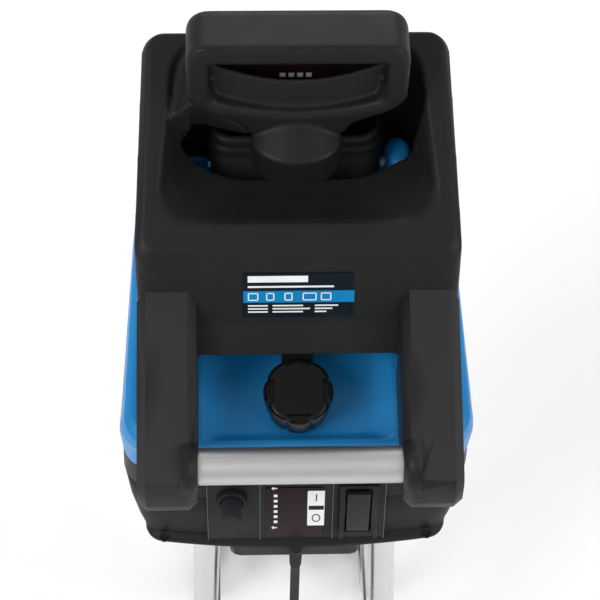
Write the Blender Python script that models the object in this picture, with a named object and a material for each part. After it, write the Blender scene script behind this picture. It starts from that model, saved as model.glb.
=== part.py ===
"""Electric garden shredder on a wheeled tube stand, modelled piece by piece.

Lengths in this file are millimetres in the machine's own frame and are turned into metres by at().
X points right and Y points away from the operator, who stands behind the grip. Z is up, and
Z = 0 is the lower lip of the base, LIP_HEIGHT above the ground.
"""

import math

import bmesh
import bpy
from mathutils import Matrix, Vector

MM = 0.001
GAP = 0.3

# Driving dimensions of the stand
LIP_HEIGHT = 415.0
LEG_RADIUS = 12.5
REAR_LEG_TOP = (82.0, -66.0, 24.0)
REAR_LEG_FOOT = (98.0, -142.4, -352.0)
FRONT_LEG_TOP = (86.0, -8.0, 24.0)
FRONT_BAR_Y = 126.0
FRONT_BAR_Z = -LIP_HEIGHT + 8.0 + LEG_RADIUS
KNEE_RADIUS = 32.0
FRONT_LOW_KNEE = (97.0, 34.0, FRONT_BAR_Z)
WHEEL_RADIUS = 75.0
WHEEL_WIDTH = 30.0
WHEEL_X = 137.0
AXLE_RADIUS = 5.0
AXLE_Y = -140.0
AXLE_Z = -LIP_HEIGHT + WHEEL_RADIUS

# Driving dimensions of the housing
CHUTE_TIP_Y = 198.0
SHIFT_Y = -(AXLE_Y - WHEEL_RADIUS + CHUTE_TIP_Y) / 2
WALL = 3.5
SEAM_Z = 62.0
BLUE_Z = 100.0
REAR_FOOT_Y = -97.5
REAR_FOOT_Z = 7.5
REAR_LEAN = math.radians(13.2)
ROCKER_TIP = math.radians(5.0)
TOP_SLOPE = math.tan(math.radians(15.0))
TOP_REAR = (-87.0, 165.0)
RECESS_DEPTH = 9.0
INLET_Y = (62.0, 116.0)
INLET_HALF = 46.0

# Driving dimensions of the cutting gear and its motor
DISC_Y = 30.0
DISC_RADIUS = 88.0
DISC_Z = 127.0
DISC_THICK = 6.0
MOTOR_Y = -31.0
BELT_Z = (84.0, 96.0)
SMALL_PULLEY = 9.0
LARGE_PULLEY = 44.1
PLATE_Z = (103.0, 109.0)

# Driving dimensions of the hopper
HINGE_Y = 182.0
HINGE_Z = 229.0
GRIP_Y = -129.0
GRIP_Z = 200.0
GRIP_RADIUS = 16.0
ARM_X = (87.0, 137.5)
KNOB_Y = -49.0
KNOB_TILT = math.radians(15.0)
KNOB_RADIUS = 31.0
KNOB_LOBES = 8
STEPS_PER_LOBE = 6
STUD_RADIUS = 5.0
HOOD_REAR_Y = 109.0
HOOD_FRONT_Y = 156.0
HOOD_FOOT_Z = 350.5
HOOD_TOP_Z = 455.0
BAFFLE_Y = 120.0
BAFFLE_CURVE = 161.0
BAFFLE_TOP_Z = 404.0

# Driving dimensions of the cord
CORD_RADIUS = 4.6
CORD_Y = -104.5
PLUG_TOP_Z = -302.0

MATERIALS = {
    "black_plastic": ((0.026, 0.027, 0.029), 0.52, 0.0),
    "blue_plastic": ((0.024, 0.27, 0.62), 0.36, 0.0),
    "rubber": ((0.018, 0.018, 0.019), 0.8, 0.0),
    "bright_tube": ((0.62, 0.62, 0.63), 0.28, 1.0),
    "steel": ((0.45, 0.45, 0.46), 0.35, 1.0),
    "aluminium": ((0.55, 0.56, 0.57), 0.45, 1.0),
    "copper": ((0.55, 0.24, 0.12), 0.4, 1.0),
    "label_navy": ((0.003, 0.008, 0.014), 0.4, 0.0),
    "label_brown": ((0.022, 0.012, 0.013), 0.4, 0.0),
}


def at(x, y, z):
    """A point of the machine's frame, in metres, with the origin on the ground."""
    return Vector((x * MM, (y + SHIFT_Y) * MM, (z + LIP_HEIGHT) * MM))


def clear_scene():
    for obj in list(bpy.data.objects):
        bpy.data.objects.remove(obj, do_unlink=True)


def material(name):
    found = bpy.data.materials.get(name)
    if found:
        return found
    colour, roughness, metallic = MATERIALS[name]
    made = bpy.data.materials.new(name)
    made.use_nodes = True
    shader = made.node_tree.nodes["Principled BSDF"]
    shader.inputs["Base Color"].default_value = (*colour, 1.0)
    shader.inputs["Roughness"].default_value = roughness
    shader.inputs["Metallic"].default_value = metallic
    return made


def add_object(name, bm, finish, origin=(0.0, 0.0, -LIP_HEIGHT)):
    """Turns a bmesh of machine-frame millimetres into an object whose origin is a given point."""
    bmesh.ops.recalc_face_normals(bm, faces=bm.faces)
    if bm.calc_volume(signed=True) < 0.0:
        bmesh.ops.reverse_faces(bm, faces=bm.faces)
    base = at(*origin)
    for vertex in bm.verts:
        vertex.co = at(*vertex.co) - base
    mesh = bpy.data.meshes.new(name)
    bm.to_mesh(mesh)
    bm.free()
    mesh.shade_smooth()
    mesh.set_sharp_from_angle(angle=math.radians(35.0))
    mesh.materials.append(material(finish))
    obj = bpy.data.objects.new(name, mesh)
    obj.location = base
    bpy.context.scene.collection.objects.link(obj)
    return obj


def add_boolean(obj, other, operation):
    step = obj.modifiers.new(f"{operation.lower()}_{other.name}", "BOOLEAN")
    step.operation = operation
    step.object = other
    step.solver = "EXACT"
    other.hide_render = True
    other.display_type = "WIRE"


def cut(obj, *cutters):
    for cutter in cutters:
        add_boolean(obj, cutter, "DIFFERENCE")
    return obj


def solve_as_manifold(obj):
    """Uses the manifold solver, for shapes whose faces nearly coincide."""
    for step in obj.modifiers:
        if step.type == "BOOLEAN":
            step.solver = "MANIFOLD"
    return obj


def join(obj, *others):
    for other in others:
        add_boolean(obj, other, "UNION")
    return obj


def add_bevel(obj, width, segments=2):
    bevel = obj.modifiers.new("bevel", "BEVEL")
    bevel.width = width * MM
    bevel.segments = segments
    bevel.limit_method = "ANGLE"
    bevel.angle_limit = math.radians(40.0)
    return obj


def loft(name, rings, finish, closed=False, origin=(0.0, 0.0, -LIP_HEIGHT)):
    """Skins equal rings of points. A closed loft joins its last ring to its first one."""
    bm = bmesh.new()
    rows = [[bm.verts.new(point) for point in ring] for ring in rings]
    pairs = list(zip(rows, rows[1:]))
    if closed:
        pairs.append((rows[-1], rows[0]))
    else:
        bm.faces.new(list(reversed(rows[0])))
        bm.faces.new(rows[-1])
    for low, high in pairs:
        for i in range(len(low)):
            j = (i + 1) % len(low)
            bm.faces.new((low[i], low[j], high[j], high[i]))
    return add_object(name, bm, finish, origin)


def plan_ring(y_span, half_widths, heights, radii, steps=4):
    """A rounded outline seen from above. Each pair is (rear, front), and the plane may slope.

    A corner's radius is one number, or a pair along X and Y where the corner is elliptical.
    """
    rear, front = y_span
    corners = (
        (half_widths[0], rear, radii[0], -90.0, -1),
        (half_widths[1], front, radii[1], 0.0, 1),
        (-half_widths[1], front, radii[1], 90.0, 1),
        (-half_widths[0], rear, radii[0], 180.0, -1),
    )
    ring = []
    for x, y, radius, start, way in corners:
        radius_x, radius_y = radius if isinstance(radius, tuple) else (radius, radius)
        centre_x = x - math.copysign(radius_x, x)
        centre_y = y - way * radius_y
        for k in range(steps + 1):
            turn = math.radians(start + 90.0 * k / steps)
            py = centre_y + radius_y * math.sin(turn)
            share = (py - rear) / (front - rear)
            pz = heights[0] + share * (heights[1] - heights[0])
            ring.append((centre_x + radius_x * math.cos(turn), py, pz))
    return ring


def prism(name, outline, x_span, finish, origin=(0.0, 0.0, -LIP_HEIGHT)):
    """A side outline of (y, z) points, extruded along X."""
    rings = [[(x, y, z) for y, z in outline] for x in x_span]
    return loft(name, rings, finish, origin=origin)


def box(name, low, high, finish, origin=(0.0, 0.0, -LIP_HEIGHT)):
    outline = ((low[1], low[2]), (high[1], low[2]), (high[1], high[2]), (low[1], high[2]))
    return prism(name, outline, (low[0], high[0]), finish, origin)


def turned(name, profile, finish, centre, axis="Z", steps=32, tilt=None, origin=None):
    """A closed profile of (radius, height) points turned about an axis through centre."""
    bm = bmesh.new()
    rows = []
    for radius, height in profile:
        if radius == 0.0:
            rows.append([bm.verts.new((0.0, 0.0, height))])
            continue
        turns = [math.tau * k / steps for k in range(steps)]
        rows.append([bm.verts.new((radius * math.cos(t), radius * math.sin(t), height)) for t in turns])
    pairs = list(zip(rows, rows[1:]))
    if profile[0][0] or profile[-1][0]:
        pairs.append((rows[-1], rows[0]))
    for low, high in pairs:
        for i in range(steps):
            j = (i + 1) % steps
            corners = [low[i % len(low)], low[j % len(low)], high[j % len(high)], high[i % len(high)]]
            bm.faces.new(list(dict.fromkeys(corners)))
    if axis == "X":
        bm.transform(Matrix.Rotation(math.radians(90.0), 4, "Y"))
    if tilt is not None:
        bm.transform(Matrix.Rotation(tilt, 4, "X"))
    bm.transform(Matrix.Translation(Vector(centre)))
    return add_object(name, bm, finish, origin or centre)


def rod(radius, low, high):
    """The profile of a plain round bar."""
    return ((0.0, low), (radius, low), (radius, high), (0.0, high))


def sleeve(outer, inner, low, high):
    """The profile of a plain ring."""
    return ((inner, low), (outer, low), (outer, high), (inner, high))


def smooth_points(points, radius, steps=5):
    """Points of a route, with each inner corner replaced by an arc-like bend."""
    route = [Vector(points[0])]
    for before, corner, after in zip(points, points[1:], points[2:]):
        corner = Vector(corner)
        start = corner + (Vector(before) - corner).normalized() * radius
        end = corner + (Vector(after) - corner).normalized() * radius
        for k in range(steps + 1):
            t = k / steps
            route.append(start.lerp(corner, t).lerp(corner.lerp(end, t), t))
    route.append(Vector(points[-1]))
    return route


def tube(name, points, radius, finish, resolution=3):
    """A round bar that follows a route of machine-frame points."""
    curve = bpy.data.curves.new(name, "CURVE")
    curve.dimensions = "3D"
    curve.bevel_depth = radius * MM
    curve.bevel_resolution = resolution
    curve.use_fill_caps = True
    spline = curve.splines.new("POLY")
    spline.points.add(len(points) - 1)
    for point, place in zip(spline.points, points):
        point.co = (*(at(*place) - at(0.0, 0.0, -LIP_HEIGHT)), 1.0)
    curve.materials.append(material(finish))
    obj = bpy.data.objects.new(name, curve)
    obj.location = at(0.0, 0.0, -LIP_HEIGHT)
    bpy.context.scene.collection.objects.link(obj)
    return obj


def mirrored(point):
    return (-point[0], point[1], point[2])


def along_x(profile_radius, x_span, y, z, name, steps=24):
    """A round cutter whose axis is parallel to X."""
    return turned(name, rod(profile_radius, *x_span), "steel", (0.0, y, z), "X", steps)


# ---------------------------------------------------------------- stand


def straight_bar(name, low, high, radius, finish, steps=20):
    """A round bar between two points."""
    way = Vector(high) - Vector(low)
    bm = bmesh.new()
    bmesh.ops.create_cone(bm, cap_ends=True, segments=steps, radius1=radius, radius2=radius, depth=way.length)
    bm.transform(way.to_track_quat("Z", "Y").to_matrix().to_4x4())
    bm.transform(Matrix.Translation((Vector(low) + Vector(high)) / 2))
    return add_object(name, bm, finish)


def on_side(side, point):
    return (side * point[0], point[1], point[2])


def rear_leg(side, name):
    ends = on_side(side, REAR_LEG_FOOT), on_side(side, REAR_LEG_TOP)
    leg = straight_bar(name, *ends, LEG_RADIUS, "bright_tube")
    hole = along_x(AXLE_RADIUS + GAP, (-40.0, 40.0), AXLE_Y, AXLE_Z, f"cut_{name}", 20)
    hole.location.x = side * REAR_LEG_FOOT[0] * MM
    return cut(leg, hole)


def front_frame():
    corner = (FRONT_LOW_KNEE[0], FRONT_BAR_Y, FRONT_BAR_Z)
    right = [FRONT_LEG_TOP, FRONT_LOW_KNEE, corner]
    route = right + [mirrored(point) for point in reversed(right)]
    return tube("front_leg_frame", smooth_points(route, KNEE_RADIUS), LEG_RADIUS, "bright_tube", 4)


def front_foot(side, name):
    """A rubber shoe around the front bar, flat on the ground."""
    x = side * 42.0
    low = (x - 20.0, FRONT_BAR_Y - 19.0, -LIP_HEIGHT)
    high = (x + 20.0, FRONT_BAR_Y + 19.0, FRONT_BAR_Z + LEG_RADIUS + 4.0)
    shoe = add_bevel(box(name, low, high, "rubber"), 3.0)
    hole = along_x(LEG_RADIUS + GAP, (-30.0, 30.0), FRONT_BAR_Y, FRONT_BAR_Z, f"cut_{name}")
    hole.location.x = x * MM
    return cut(shoe, hole)


def side_brace(side, name):
    """A flat strap that ties the rear leg to the front leg, on their inner side."""
    x = side * 76.6
    outline = []
    for y, z, start in ((-109.0, -196.0, 90.0), (15.0, -196.0, -90.0)):
        for k in range(7):
            turn = math.radians(start + 30.0 * k)
            outline.append((y + 9.0 * math.cos(turn), z + 9.0 * math.sin(turn)))
    return prism(name, outline, (x - 1.5, x + 1.5), "steel")


def wheel(side, name):
    half = WHEEL_WIDTH / 2
    tread = WHEEL_RADIUS
    profile = (
        (AXLE_RADIUS + GAP, -half - 2),
        (17.0, -half - 2),
        (17.0, -5.0),
        (56.0, -5.0),
        (58.0, -half + 3),
        (tread - 5, -half),
        (tread, -half + 6),
        (tread, half - 6),
        (tread - 5, half),
        (58.0, half - 3),
        (56.0, 5.0),
        (17.0, 5.0),
        (17.0, half),
        (AXLE_RADIUS + GAP, half),
    )
    profile = [(radius, side * height) for radius, height in profile]
    return turned(name, profile, "black_plastic", (side * WHEEL_X, AXLE_Y, AXLE_Z), "X", 40)


def axle_parts():
    reach = WHEEL_X + WHEEL_WIDTH / 2 + 5
    turned("wheel_axle", rod(AXLE_RADIUS, -reach, reach), "steel", (0.0, AXLE_Y, AXLE_Z), "X", 20)
    for side, word in ((-1, "left"), (1, "right")):
        inner = REAR_LEG_FOOT[0] + LEG_RADIUS + 1.2
        outer = WHEEL_X - WHEEL_WIDTH / 2 - 2 - GAP
        span = sorted((side * inner, side * outer))
        ring = sleeve(9.0, AXLE_RADIUS + GAP, *span)
        turned(f"axle_spacer_{word}", ring, "black_plastic", (0.0, AXLE_Y, AXLE_Z), "X", 20)
        start = WHEEL_X + WHEEL_WIDTH / 2 + GAP
        cup = (
            (0.0, start + 8),
            (AXLE_RADIUS + 5, start + 8),
            (AXLE_RADIUS + 9, start + 4),
            (AXLE_RADIUS + 9, start),
            (AXLE_RADIUS + GAP, start),
            (AXLE_RADIUS + GAP, reach + GAP),
            (0.0, reach + GAP),
        )
        cup = [(radius, side * height) for radius, height in cup]
        turned(f"hub_cap_{word}", cup, "black_plastic", (0.0, AXLE_Y, AXLE_Z), "X", 20)


def stand():
    for side, word in ((-1, "left"), (1, "right")):
        rear_leg(side, f"rear_leg_{word}")
        front_foot(side, f"front_foot_{word}")
        side_brace(side, f"side_brace_{word}")
        wheel(side, f"wheel_{word}")
    front_frame()
    axle_parts()


# ---------------------------------------------------------------- housing


def rear_wall_y(z):
    """The outer face of the housing's rear wall at a height."""
    return REAR_FOOT_Y + (z - REAR_FOOT_Z) * math.tan(REAR_LEAN)


def smaller(radius, wall):
    """A corner radius, or an elliptical pair, on the inner side of a wall."""
    if isinstance(radius, tuple):
        return tuple(smaller(part, wall) for part in radius)
    return max(radius - wall, 1.0)


def shell_rings(sections, wall):
    """Outer rings from bottom to top, then inner rings back down, for a wall open at both ends."""
    outer = [plan_ring(*section) for section in sections]
    inner = []
    for (rear, front), widths, heights, radii in reversed(sections):
        inner.append(
            plan_ring(
                (rear + wall, front - wall),
                (widths[0] - wall, widths[1] - wall),
                heights,
                [smaller(radius, wall) for radius in radii],
            )
        )
    return outer + inner


def base_shell():
    top = SEAM_Z - GAP
    rear = (62.0, 27.0)
    sections = [
        ((-105.0, 158.0), (141.5, 128.0), (0.0, 0.0), (rear, 50.0)),
        ((-105.0, 158.5), (142.0, 128.5), (5.5, 5.5), (rear, 50.0)),
        ((REAR_FOOT_Y, 159.0), (143.0, 129.0), (REAR_FOOT_Z, REAR_FOOT_Z), (rear, 50.0)),
        ((rear_wall_y(20.0), 165.0), (148.5, 134.0), (20.0, 20.0), (rear, 52.0)),
        ((rear_wall_y(40.0), 172.0), (155.0, 141.0), (40.0, 40.0), (rear, 56.0)),
        ((rear_wall_y(top), 176.0), (160.0, 147.0), (top, top), (rear, 60.0)),
    ]
    shell = loft("base_shell", shell_rings(sections, WALL), "black_plastic", closed=True)
    mouth = box("cut_base_mouth", (-56.0, 120.0, 5.0), (56.0, 200.0, 48.0), "black_plastic")
    return cut(shell, mouth)


def base_ring():
    top = BLUE_Z - GAP
    rear = (50.0, 25.0)
    sections = [
        ((rear_wall_y(SEAM_Z), 176.5), (160.5, 147.5), (SEAM_Z, SEAM_Z), (rear, 60.0)),
        ((rear_wall_y(top), 176.5), (158.5, 151.0), (top, top), (rear, 60.0)),
    ]
    return loft("base_ring", shell_rings(sections, WALL), "black_plastic", closed=True)


def bottom_pan():
    rings = [
        plan_ring((-100.0, 153.0), (136.0, 123.0), (z, z), ((52.0, 22.0), 46.0)) for z in (0.3, 5.0)
    ]
    pan = loft("bottom_pan", rings, "black_plastic")
    sump_rings = [
        plan_ring((-96.0, 60.0), (63.0, 58.0), (-32.0, -32.0), (10.0, 20.0), 3),
        plan_ring((-96.5, 66.0), (65.0, 62.0), (3.0, 3.0), (10.0, 20.0), 3),
    ]
    join(pan, loft("sump", sump_rings, "black_plastic"))
    legs = (("rear", REAR_LEG_FOOT, REAR_LEG_TOP), ("front", FRONT_LOW_KNEE, FRONT_LEG_TOP))
    for side, word in ((-1, "left"), (1, "right")):
        for kind, low, high in legs:
            way = Vector(high) - Vector(low)
            middle = Vector(low) + way * ((12.0 - low[2]) / way.z)
            boss = turned(
                f"boss_{kind}_{word}",
                rod(LEG_RADIUS + 6.5, -9.0, 9.0),
                "black_plastic",
                on_side(side, middle),
                steps=24,
            )
            step = way.normalized() * 24.0
            ends = on_side(side, middle - step), on_side(side, middle + step)
            bore = straight_bar(f"cut_socket_{kind}_{word}", *ends, LEG_RADIUS + 2 * GAP, "black_plastic", 24)
            join(pan, boss)
            cut(pan, bore)
    return pan


def discharge_chute():
    """A channel that leads from the edge of the cutting disc down and out at the front."""
    outer = (
        (118.0, 100.5),
        (166.0, 100.5),
        (166.0, 46.0),
        (CHUTE_TIP_Y, 34.0),
        (194.0, 7.0),
        (140.0, 7.0),
        (118.0, 40.0),
    )
    inner = (
        (121.0, 120.0),
        (163.0, 120.0),
        (163.0, 43.0),
        (220.0, 22.0),
        (220.0, -4.0),
        (152.0, 11.0),
        (121.0, 42.0),
    )
    chute = prism("discharge_chute", outer, (-54.0, 54.0), "black_plastic")
    hollow = prism("cut_chute", inner, (-51.0, 51.0), "black_plastic")
    return cut(chute, hollow)


def top_z(y):
    """The sloping top of the blue housing."""
    return TOP_REAR[1] + (y - TOP_REAR[0]) * TOP_SLOPE


def upper_housing():
    """The blue cover: a closed top with a feed inlet and a recess for the clamping knob."""
    sections = [
        ((rear_wall_y(BLUE_Z), 176.0), (158.5, 151.0), (BLUE_Z, BLUE_Z), (30.0, 60.0)),
        ((-80.0, 178.0), (159.5, 152.0), (135.0, 135.0), (30.0, 62.0)),
        ((-85.0, 177.0), (157.5, 150.0), (146.0, 192.0), (30.0, 62.0)),
        ((TOP_REAR[0], 172.0), (153.5, 146.0), (top_z(TOP_REAR[0]) - 5, top_z(172.0) - 5), (30.0, 58.0)),
        ((-81.0, 166.0), (147.0, 139.0), (top_z(-81.0), top_z(166.0)), (26.0, 52.0)),
    ]
    inlet_low = ((INLET_Y[0], INLET_Y[1]), (INLET_HALF, INLET_HALF))
    roof = 14.0
    rings = [plan_ring(*section) for section in sections]
    for drop in (0.0, roof):
        heights = (top_z(INLET_Y[0]) - drop, top_z(INLET_Y[1]) - drop)
        rings.append(plan_ring(*inlet_low, heights, (12.0, 12.0)))
    below = (top_z(-74.0) - roof, top_z(160.0) - roof - 6)
    rings.append(plan_ring((-74.0, 160.0), (136.0, 128.0), below, (24.0, 50.0)))
    for (rear, front), widths, heights, radii in (sections[1], sections[0]):
        inside = [width - WALL for width in widths]
        rings.append(plan_ring((rear + WALL, front - WALL), inside, heights, [r - WALL for r in radii]))
    cover = loft("upper_housing", rings, "blue_plastic", closed=True)
    floor = (
        (-78.0, top_z(-78.0) - RECESS_DEPTH),
        (20.0, top_z(20.0) - RECESS_DEPTH),
        (20.0, 300.0),
        (-86.0, 300.0),
        (-86.0, top_z(-86.0) - 1.5),
    )
    recess = prism("cut_recess", floor, (-82.0, 82.0), "blue_plastic")
    bore = turned(
        "cut_knob_bore", rod(7.5, -30.0, 30.0), "blue_plastic", knob_point(-6.0), tilt=KNOB_TILT, steps=24
    )
    cut(cover, recess, bore)
    hinge_lugs(cover)


# ---------------------------------------------------------------- console


def panel_point(x, up, out):
    """A point given by its place on the sloping rear wall and its height above it."""
    return (
        x,
        REAR_FOOT_Y + up * math.sin(REAR_LEAN) - out * math.cos(REAR_LEAN),
        REAR_FOOT_Z + up * math.cos(REAR_LEAN) + out * math.sin(REAR_LEAN),
    )


def panel_box(name, x_span, up_span, out_span, finish, bevel=0.0, origin=None):
    rings = []
    for x in x_span:
        corners = (
            (up_span[0], out_span[0]),
            (up_span[1], out_span[0]),
            (up_span[1], out_span[1]),
            (up_span[0], out_span[1]),
        )
        rings.append([panel_point(x, up, out) for up, out in corners])
    made = loft(name, rings, finish, origin=origin or (0.0, 0.0, -LIP_HEIGHT))
    if bevel:
        add_bevel(made, bevel)
    return made


def console():
    plate_out = (GAP, 2.6)
    plate = panel_box("console_panel", (-82.5, 82.5), (2.0, 78.0), plate_out, "black_plastic", 0.8)
    face = plate_out[1] + GAP
    panel_box("control_label", (-28.5, 24.5), (6.0, 73.0), (face, face + 0.8), "label_brown")
    opening = panel_box("cut_rocker", (45.0, 69.5), (15.5, 74.0), (-1.0, 9.0), "black_plastic")
    cut(plate, opening)
    frame = panel_box("switch_frame", (40.0, 76.0), (12.0, 77.5), (face, 7.5), "black_plastic", 0.8)
    cut(frame, opening)
    rocker_switch()
    reset_button()


def rocker_switch():
    """A two-position rocker that turns about its pin, across the middle of its length."""
    middle = 44.75
    height = 3.2
    neutral = ((-28.0, 6.7), (-28.0, 2.0), (-7.0, -2.3), (7.0, -2.3), (28.0, 2.0), (28.0, 6.7), (0.0, 4.4))
    outline = []
    for along, out in neutral:
        outline.append(
            (
                middle + along * math.cos(ROCKER_TIP) - out * math.sin(ROCKER_TIP),
                height + along * math.sin(ROCKER_TIP) + out * math.cos(ROCKER_TIP),
            )
        )
    rings = [[panel_point(x, up, out) for up, out in outline] for x in (46.6, 67.8)]
    loft("rocker_switch", rings, "black_plastic", origin=panel_point(57.2, middle, height))


def reset_button():
    """The overload reset: a fixed collar, and a tall plunger that is pushed straight in."""
    tilt = math.radians(90.0) - REAR_LEAN
    foot = panel_point(-60.0, 58.0, 2.6 + GAP)
    collar = ((10.6, 0.0), (14.2, 0.0), (14.2, 5.0), (13.0, 7.0), (10.6, 7.0))
    turned("reset_collar", collar, "black_plastic", foot, tilt=tilt, steps=28)
    plunger = ((0.0, 4.5), (10.0, 4.5), (10.0, 12.0), (9.2, 27.5), (8.2, 29.0), (0.0, 29.0))
    turned("reset_button", plunger, "rubber", foot, tilt=tilt, steps=28)


# ---------------------------------------------------------------- drive


def drive():
    plate = loft(
        "motor_plate",
        [plan_ring((-66.0, 168.0), (146.0, 136.0), (z, z), (26.0, 54.0)) for z in PLATE_Z],
        "aluminium",
    )
    boss = turned("plate_boss", rod(24.0, 99.0, 121.0), "aluminium", (0.0, DISC_Y, 0.0))
    join(plate, boss)
    bore = turned("cut_bearing_seat", rod(19.3, 80.0, 140.0), "aluminium", (0.0, DISC_Y, 0.0))
    motor_bore = turned("cut_motor_bore", rod(14.0, 80.0, 140.0), "aluminium", (0.0, MOTOR_Y, 0.0), steps=20)
    drop = box("cut_plate_drop", (-51.0, 121.0, 80.0), (51.0, 163.0, 140.0), "aluminium")
    cut(plate, bore, motor_bore, drop)
    solve_as_manifold(plate)
    for name, low in (("lower_bearing", 100.0), ("upper_bearing", 111.5)):
        turned(name, sleeve(19.0, 9.0, low, low + 9.0), "steel", (0.0, DISC_Y, 0.0), steps=28)
    axis = (0.0, DISC_Y, 0.0)
    shaft = (
        (0.0, BELT_Z[0] - 4),
        (8.7, BELT_Z[0] - 4),
        (8.7, DISC_Z - GAP - 3),
        (15.0, DISC_Z - GAP - 3),
        (15.0, DISC_Z - GAP),
        (7.0, DISC_Z - GAP),
        (7.0, DISC_Z + DISC_THICK + 8),
        (0.0, DISC_Z + DISC_THICK + 8),
    )
    turned("disc_shaft", shaft, "steel", axis, steps=28)
    cutting_disc(axis)
    turned("disc_pulley", pulley(9.0, LARGE_PULLEY), "aluminium", axis, steps=40)
    motor()
    belt()


def cutting_disc(axis):
    top = DISC_Z + DISC_THICK
    ring = ((7.3, DISC_Z), (DISC_RADIUS, DISC_Z), (DISC_RADIUS, top), (7.3, top))
    disc = turned("cutting_disc", ring, "steel", axis, steps=56)
    turned("disc_nut", sleeve(13.0, 8.4, top + GAP, top + 7.0), "steel", axis, steps=6)
    for k, word in enumerate(("a", "b")):
        turn = math.pi * k
        slot_low = (22.0, DISC_Y - 3.0, DISC_Z - 5)
        slot_high = (82.0, DISC_Y + 9.0, top + 5)
        slot = box(f"cut_slot_{word}", slot_low, slot_high, "steel")
        spin_about(slot, turn)
        cut(disc, slot)
        blade_low = (20.0, DISC_Y - 34.0, top + GAP)
        blade_high = (84.0, DISC_Y - 1.0, top + GAP + 4.0)
        blade = box(f"blade_{word}", blade_low, blade_high, "steel", origin=axis)
        spin_about(blade, turn)
        for spot, x in (("inner", 36.0), ("outer", 66.0)):
            place = Matrix.Rotation(turn, 3, "Z") @ Vector((x, -18.0, 0.0)) + Vector(axis)
            head = ((0.0, top + 4 + 2 * GAP), (6.5, top + 4 + 2 * GAP), (4.5, top + 7.6), (0.0, top + 7.6))
            turned(f"blade_screw_{word}_{spot}", head, "steel", place, steps=16)


def spin_about(obj, turn):
    """Turns an object about the disc's own upright axis."""
    pivot = at(0.0, DISC_Y, 0.0)
    turned_by = Matrix.Rotation(turn, 4, "Z")
    obj.matrix_basis = Matrix.Translation(pivot) @ turned_by @ Matrix.Translation(-pivot) @ obj.matrix_basis


def motor():
    axis = (0.0, MOTOR_Y, 0.0)
    turned("motor_stator", sleeve(44.0, 30.5, 12.0, 70.0), "copper", axis, steps=32)
    armature = (
        (0.0, 6.0),
        (5.0, 6.0),
        (5.0, 14.0),
        (29.0, 16.0),
        (29.0, 66.0),
        (15.0, 68.0),
        (15.0, 76.0),
        (5.0, 76.0),
        (5.0, BELT_Z[1] + 3),
        (0.0, BELT_Z[1] + 3),
    )
    turned("motor_armature", armature, "steel", axis, steps=28)
    turned("motor_pulley", pulley(5.3, SMALL_PULLEY), "steel", axis, steps=24)


def pulley(bore, radius):
    """The profile of a pulley whose thin flanges stand proud of the belt's track."""
    low, high = BELT_Z
    flange = radius + 2.2
    return (
        (bore, low - 1),
        (flange, low - 1),
        (flange, low),
        (radius, low),
        (radius, high),
        (flange, high),
        (flange, high + 1),
        (bore, high + 1),
    )


def belt():
    """A closed flat belt: two straight runs between arcs around the two pulleys."""
    reach = DISC_Y - MOTOR_Y
    lean = math.asin((LARGE_PULLEY - SMALL_PULLEY) / reach)
    rings = []
    for inset in (0.5, 2.3):
        outline = []
        for radius, centre, start, end in (
            (LARGE_PULLEY + inset, DISC_Y, -lean, math.pi + lean),
            (SMALL_PULLEY + inset, MOTOR_Y, math.pi + lean, math.tau - lean),
        ):
            for k in range(17):
                turn = start + (end - start) * k / 16
                outline.append((radius * math.cos(turn), centre + radius * math.sin(turn)))
        rings.append(outline)
    low, high = BELT_Z[0] + 0.5, BELT_Z[1] - 0.5
    edges = ((rings[1], low), (rings[1], high), (rings[0], high), (rings[0], low))
    loops = [[(x, y, z) for x, y in ring] for ring, z in edges]
    return loft("drive_belt", loops, "rubber", closed=True)


# ---------------------------------------------------------------- hopper


def knob_point(height):
    """A point on the knob's axis, a height above the floor of its recess."""
    floor = top_z(KNOB_Y) - RECESS_DEPTH
    return (0.0, KNOB_Y - height * math.sin(KNOB_TILT), floor + height * math.cos(KNOB_TILT))


HINGE = (0.0, HINGE_Y, HINGE_Z)


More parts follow.
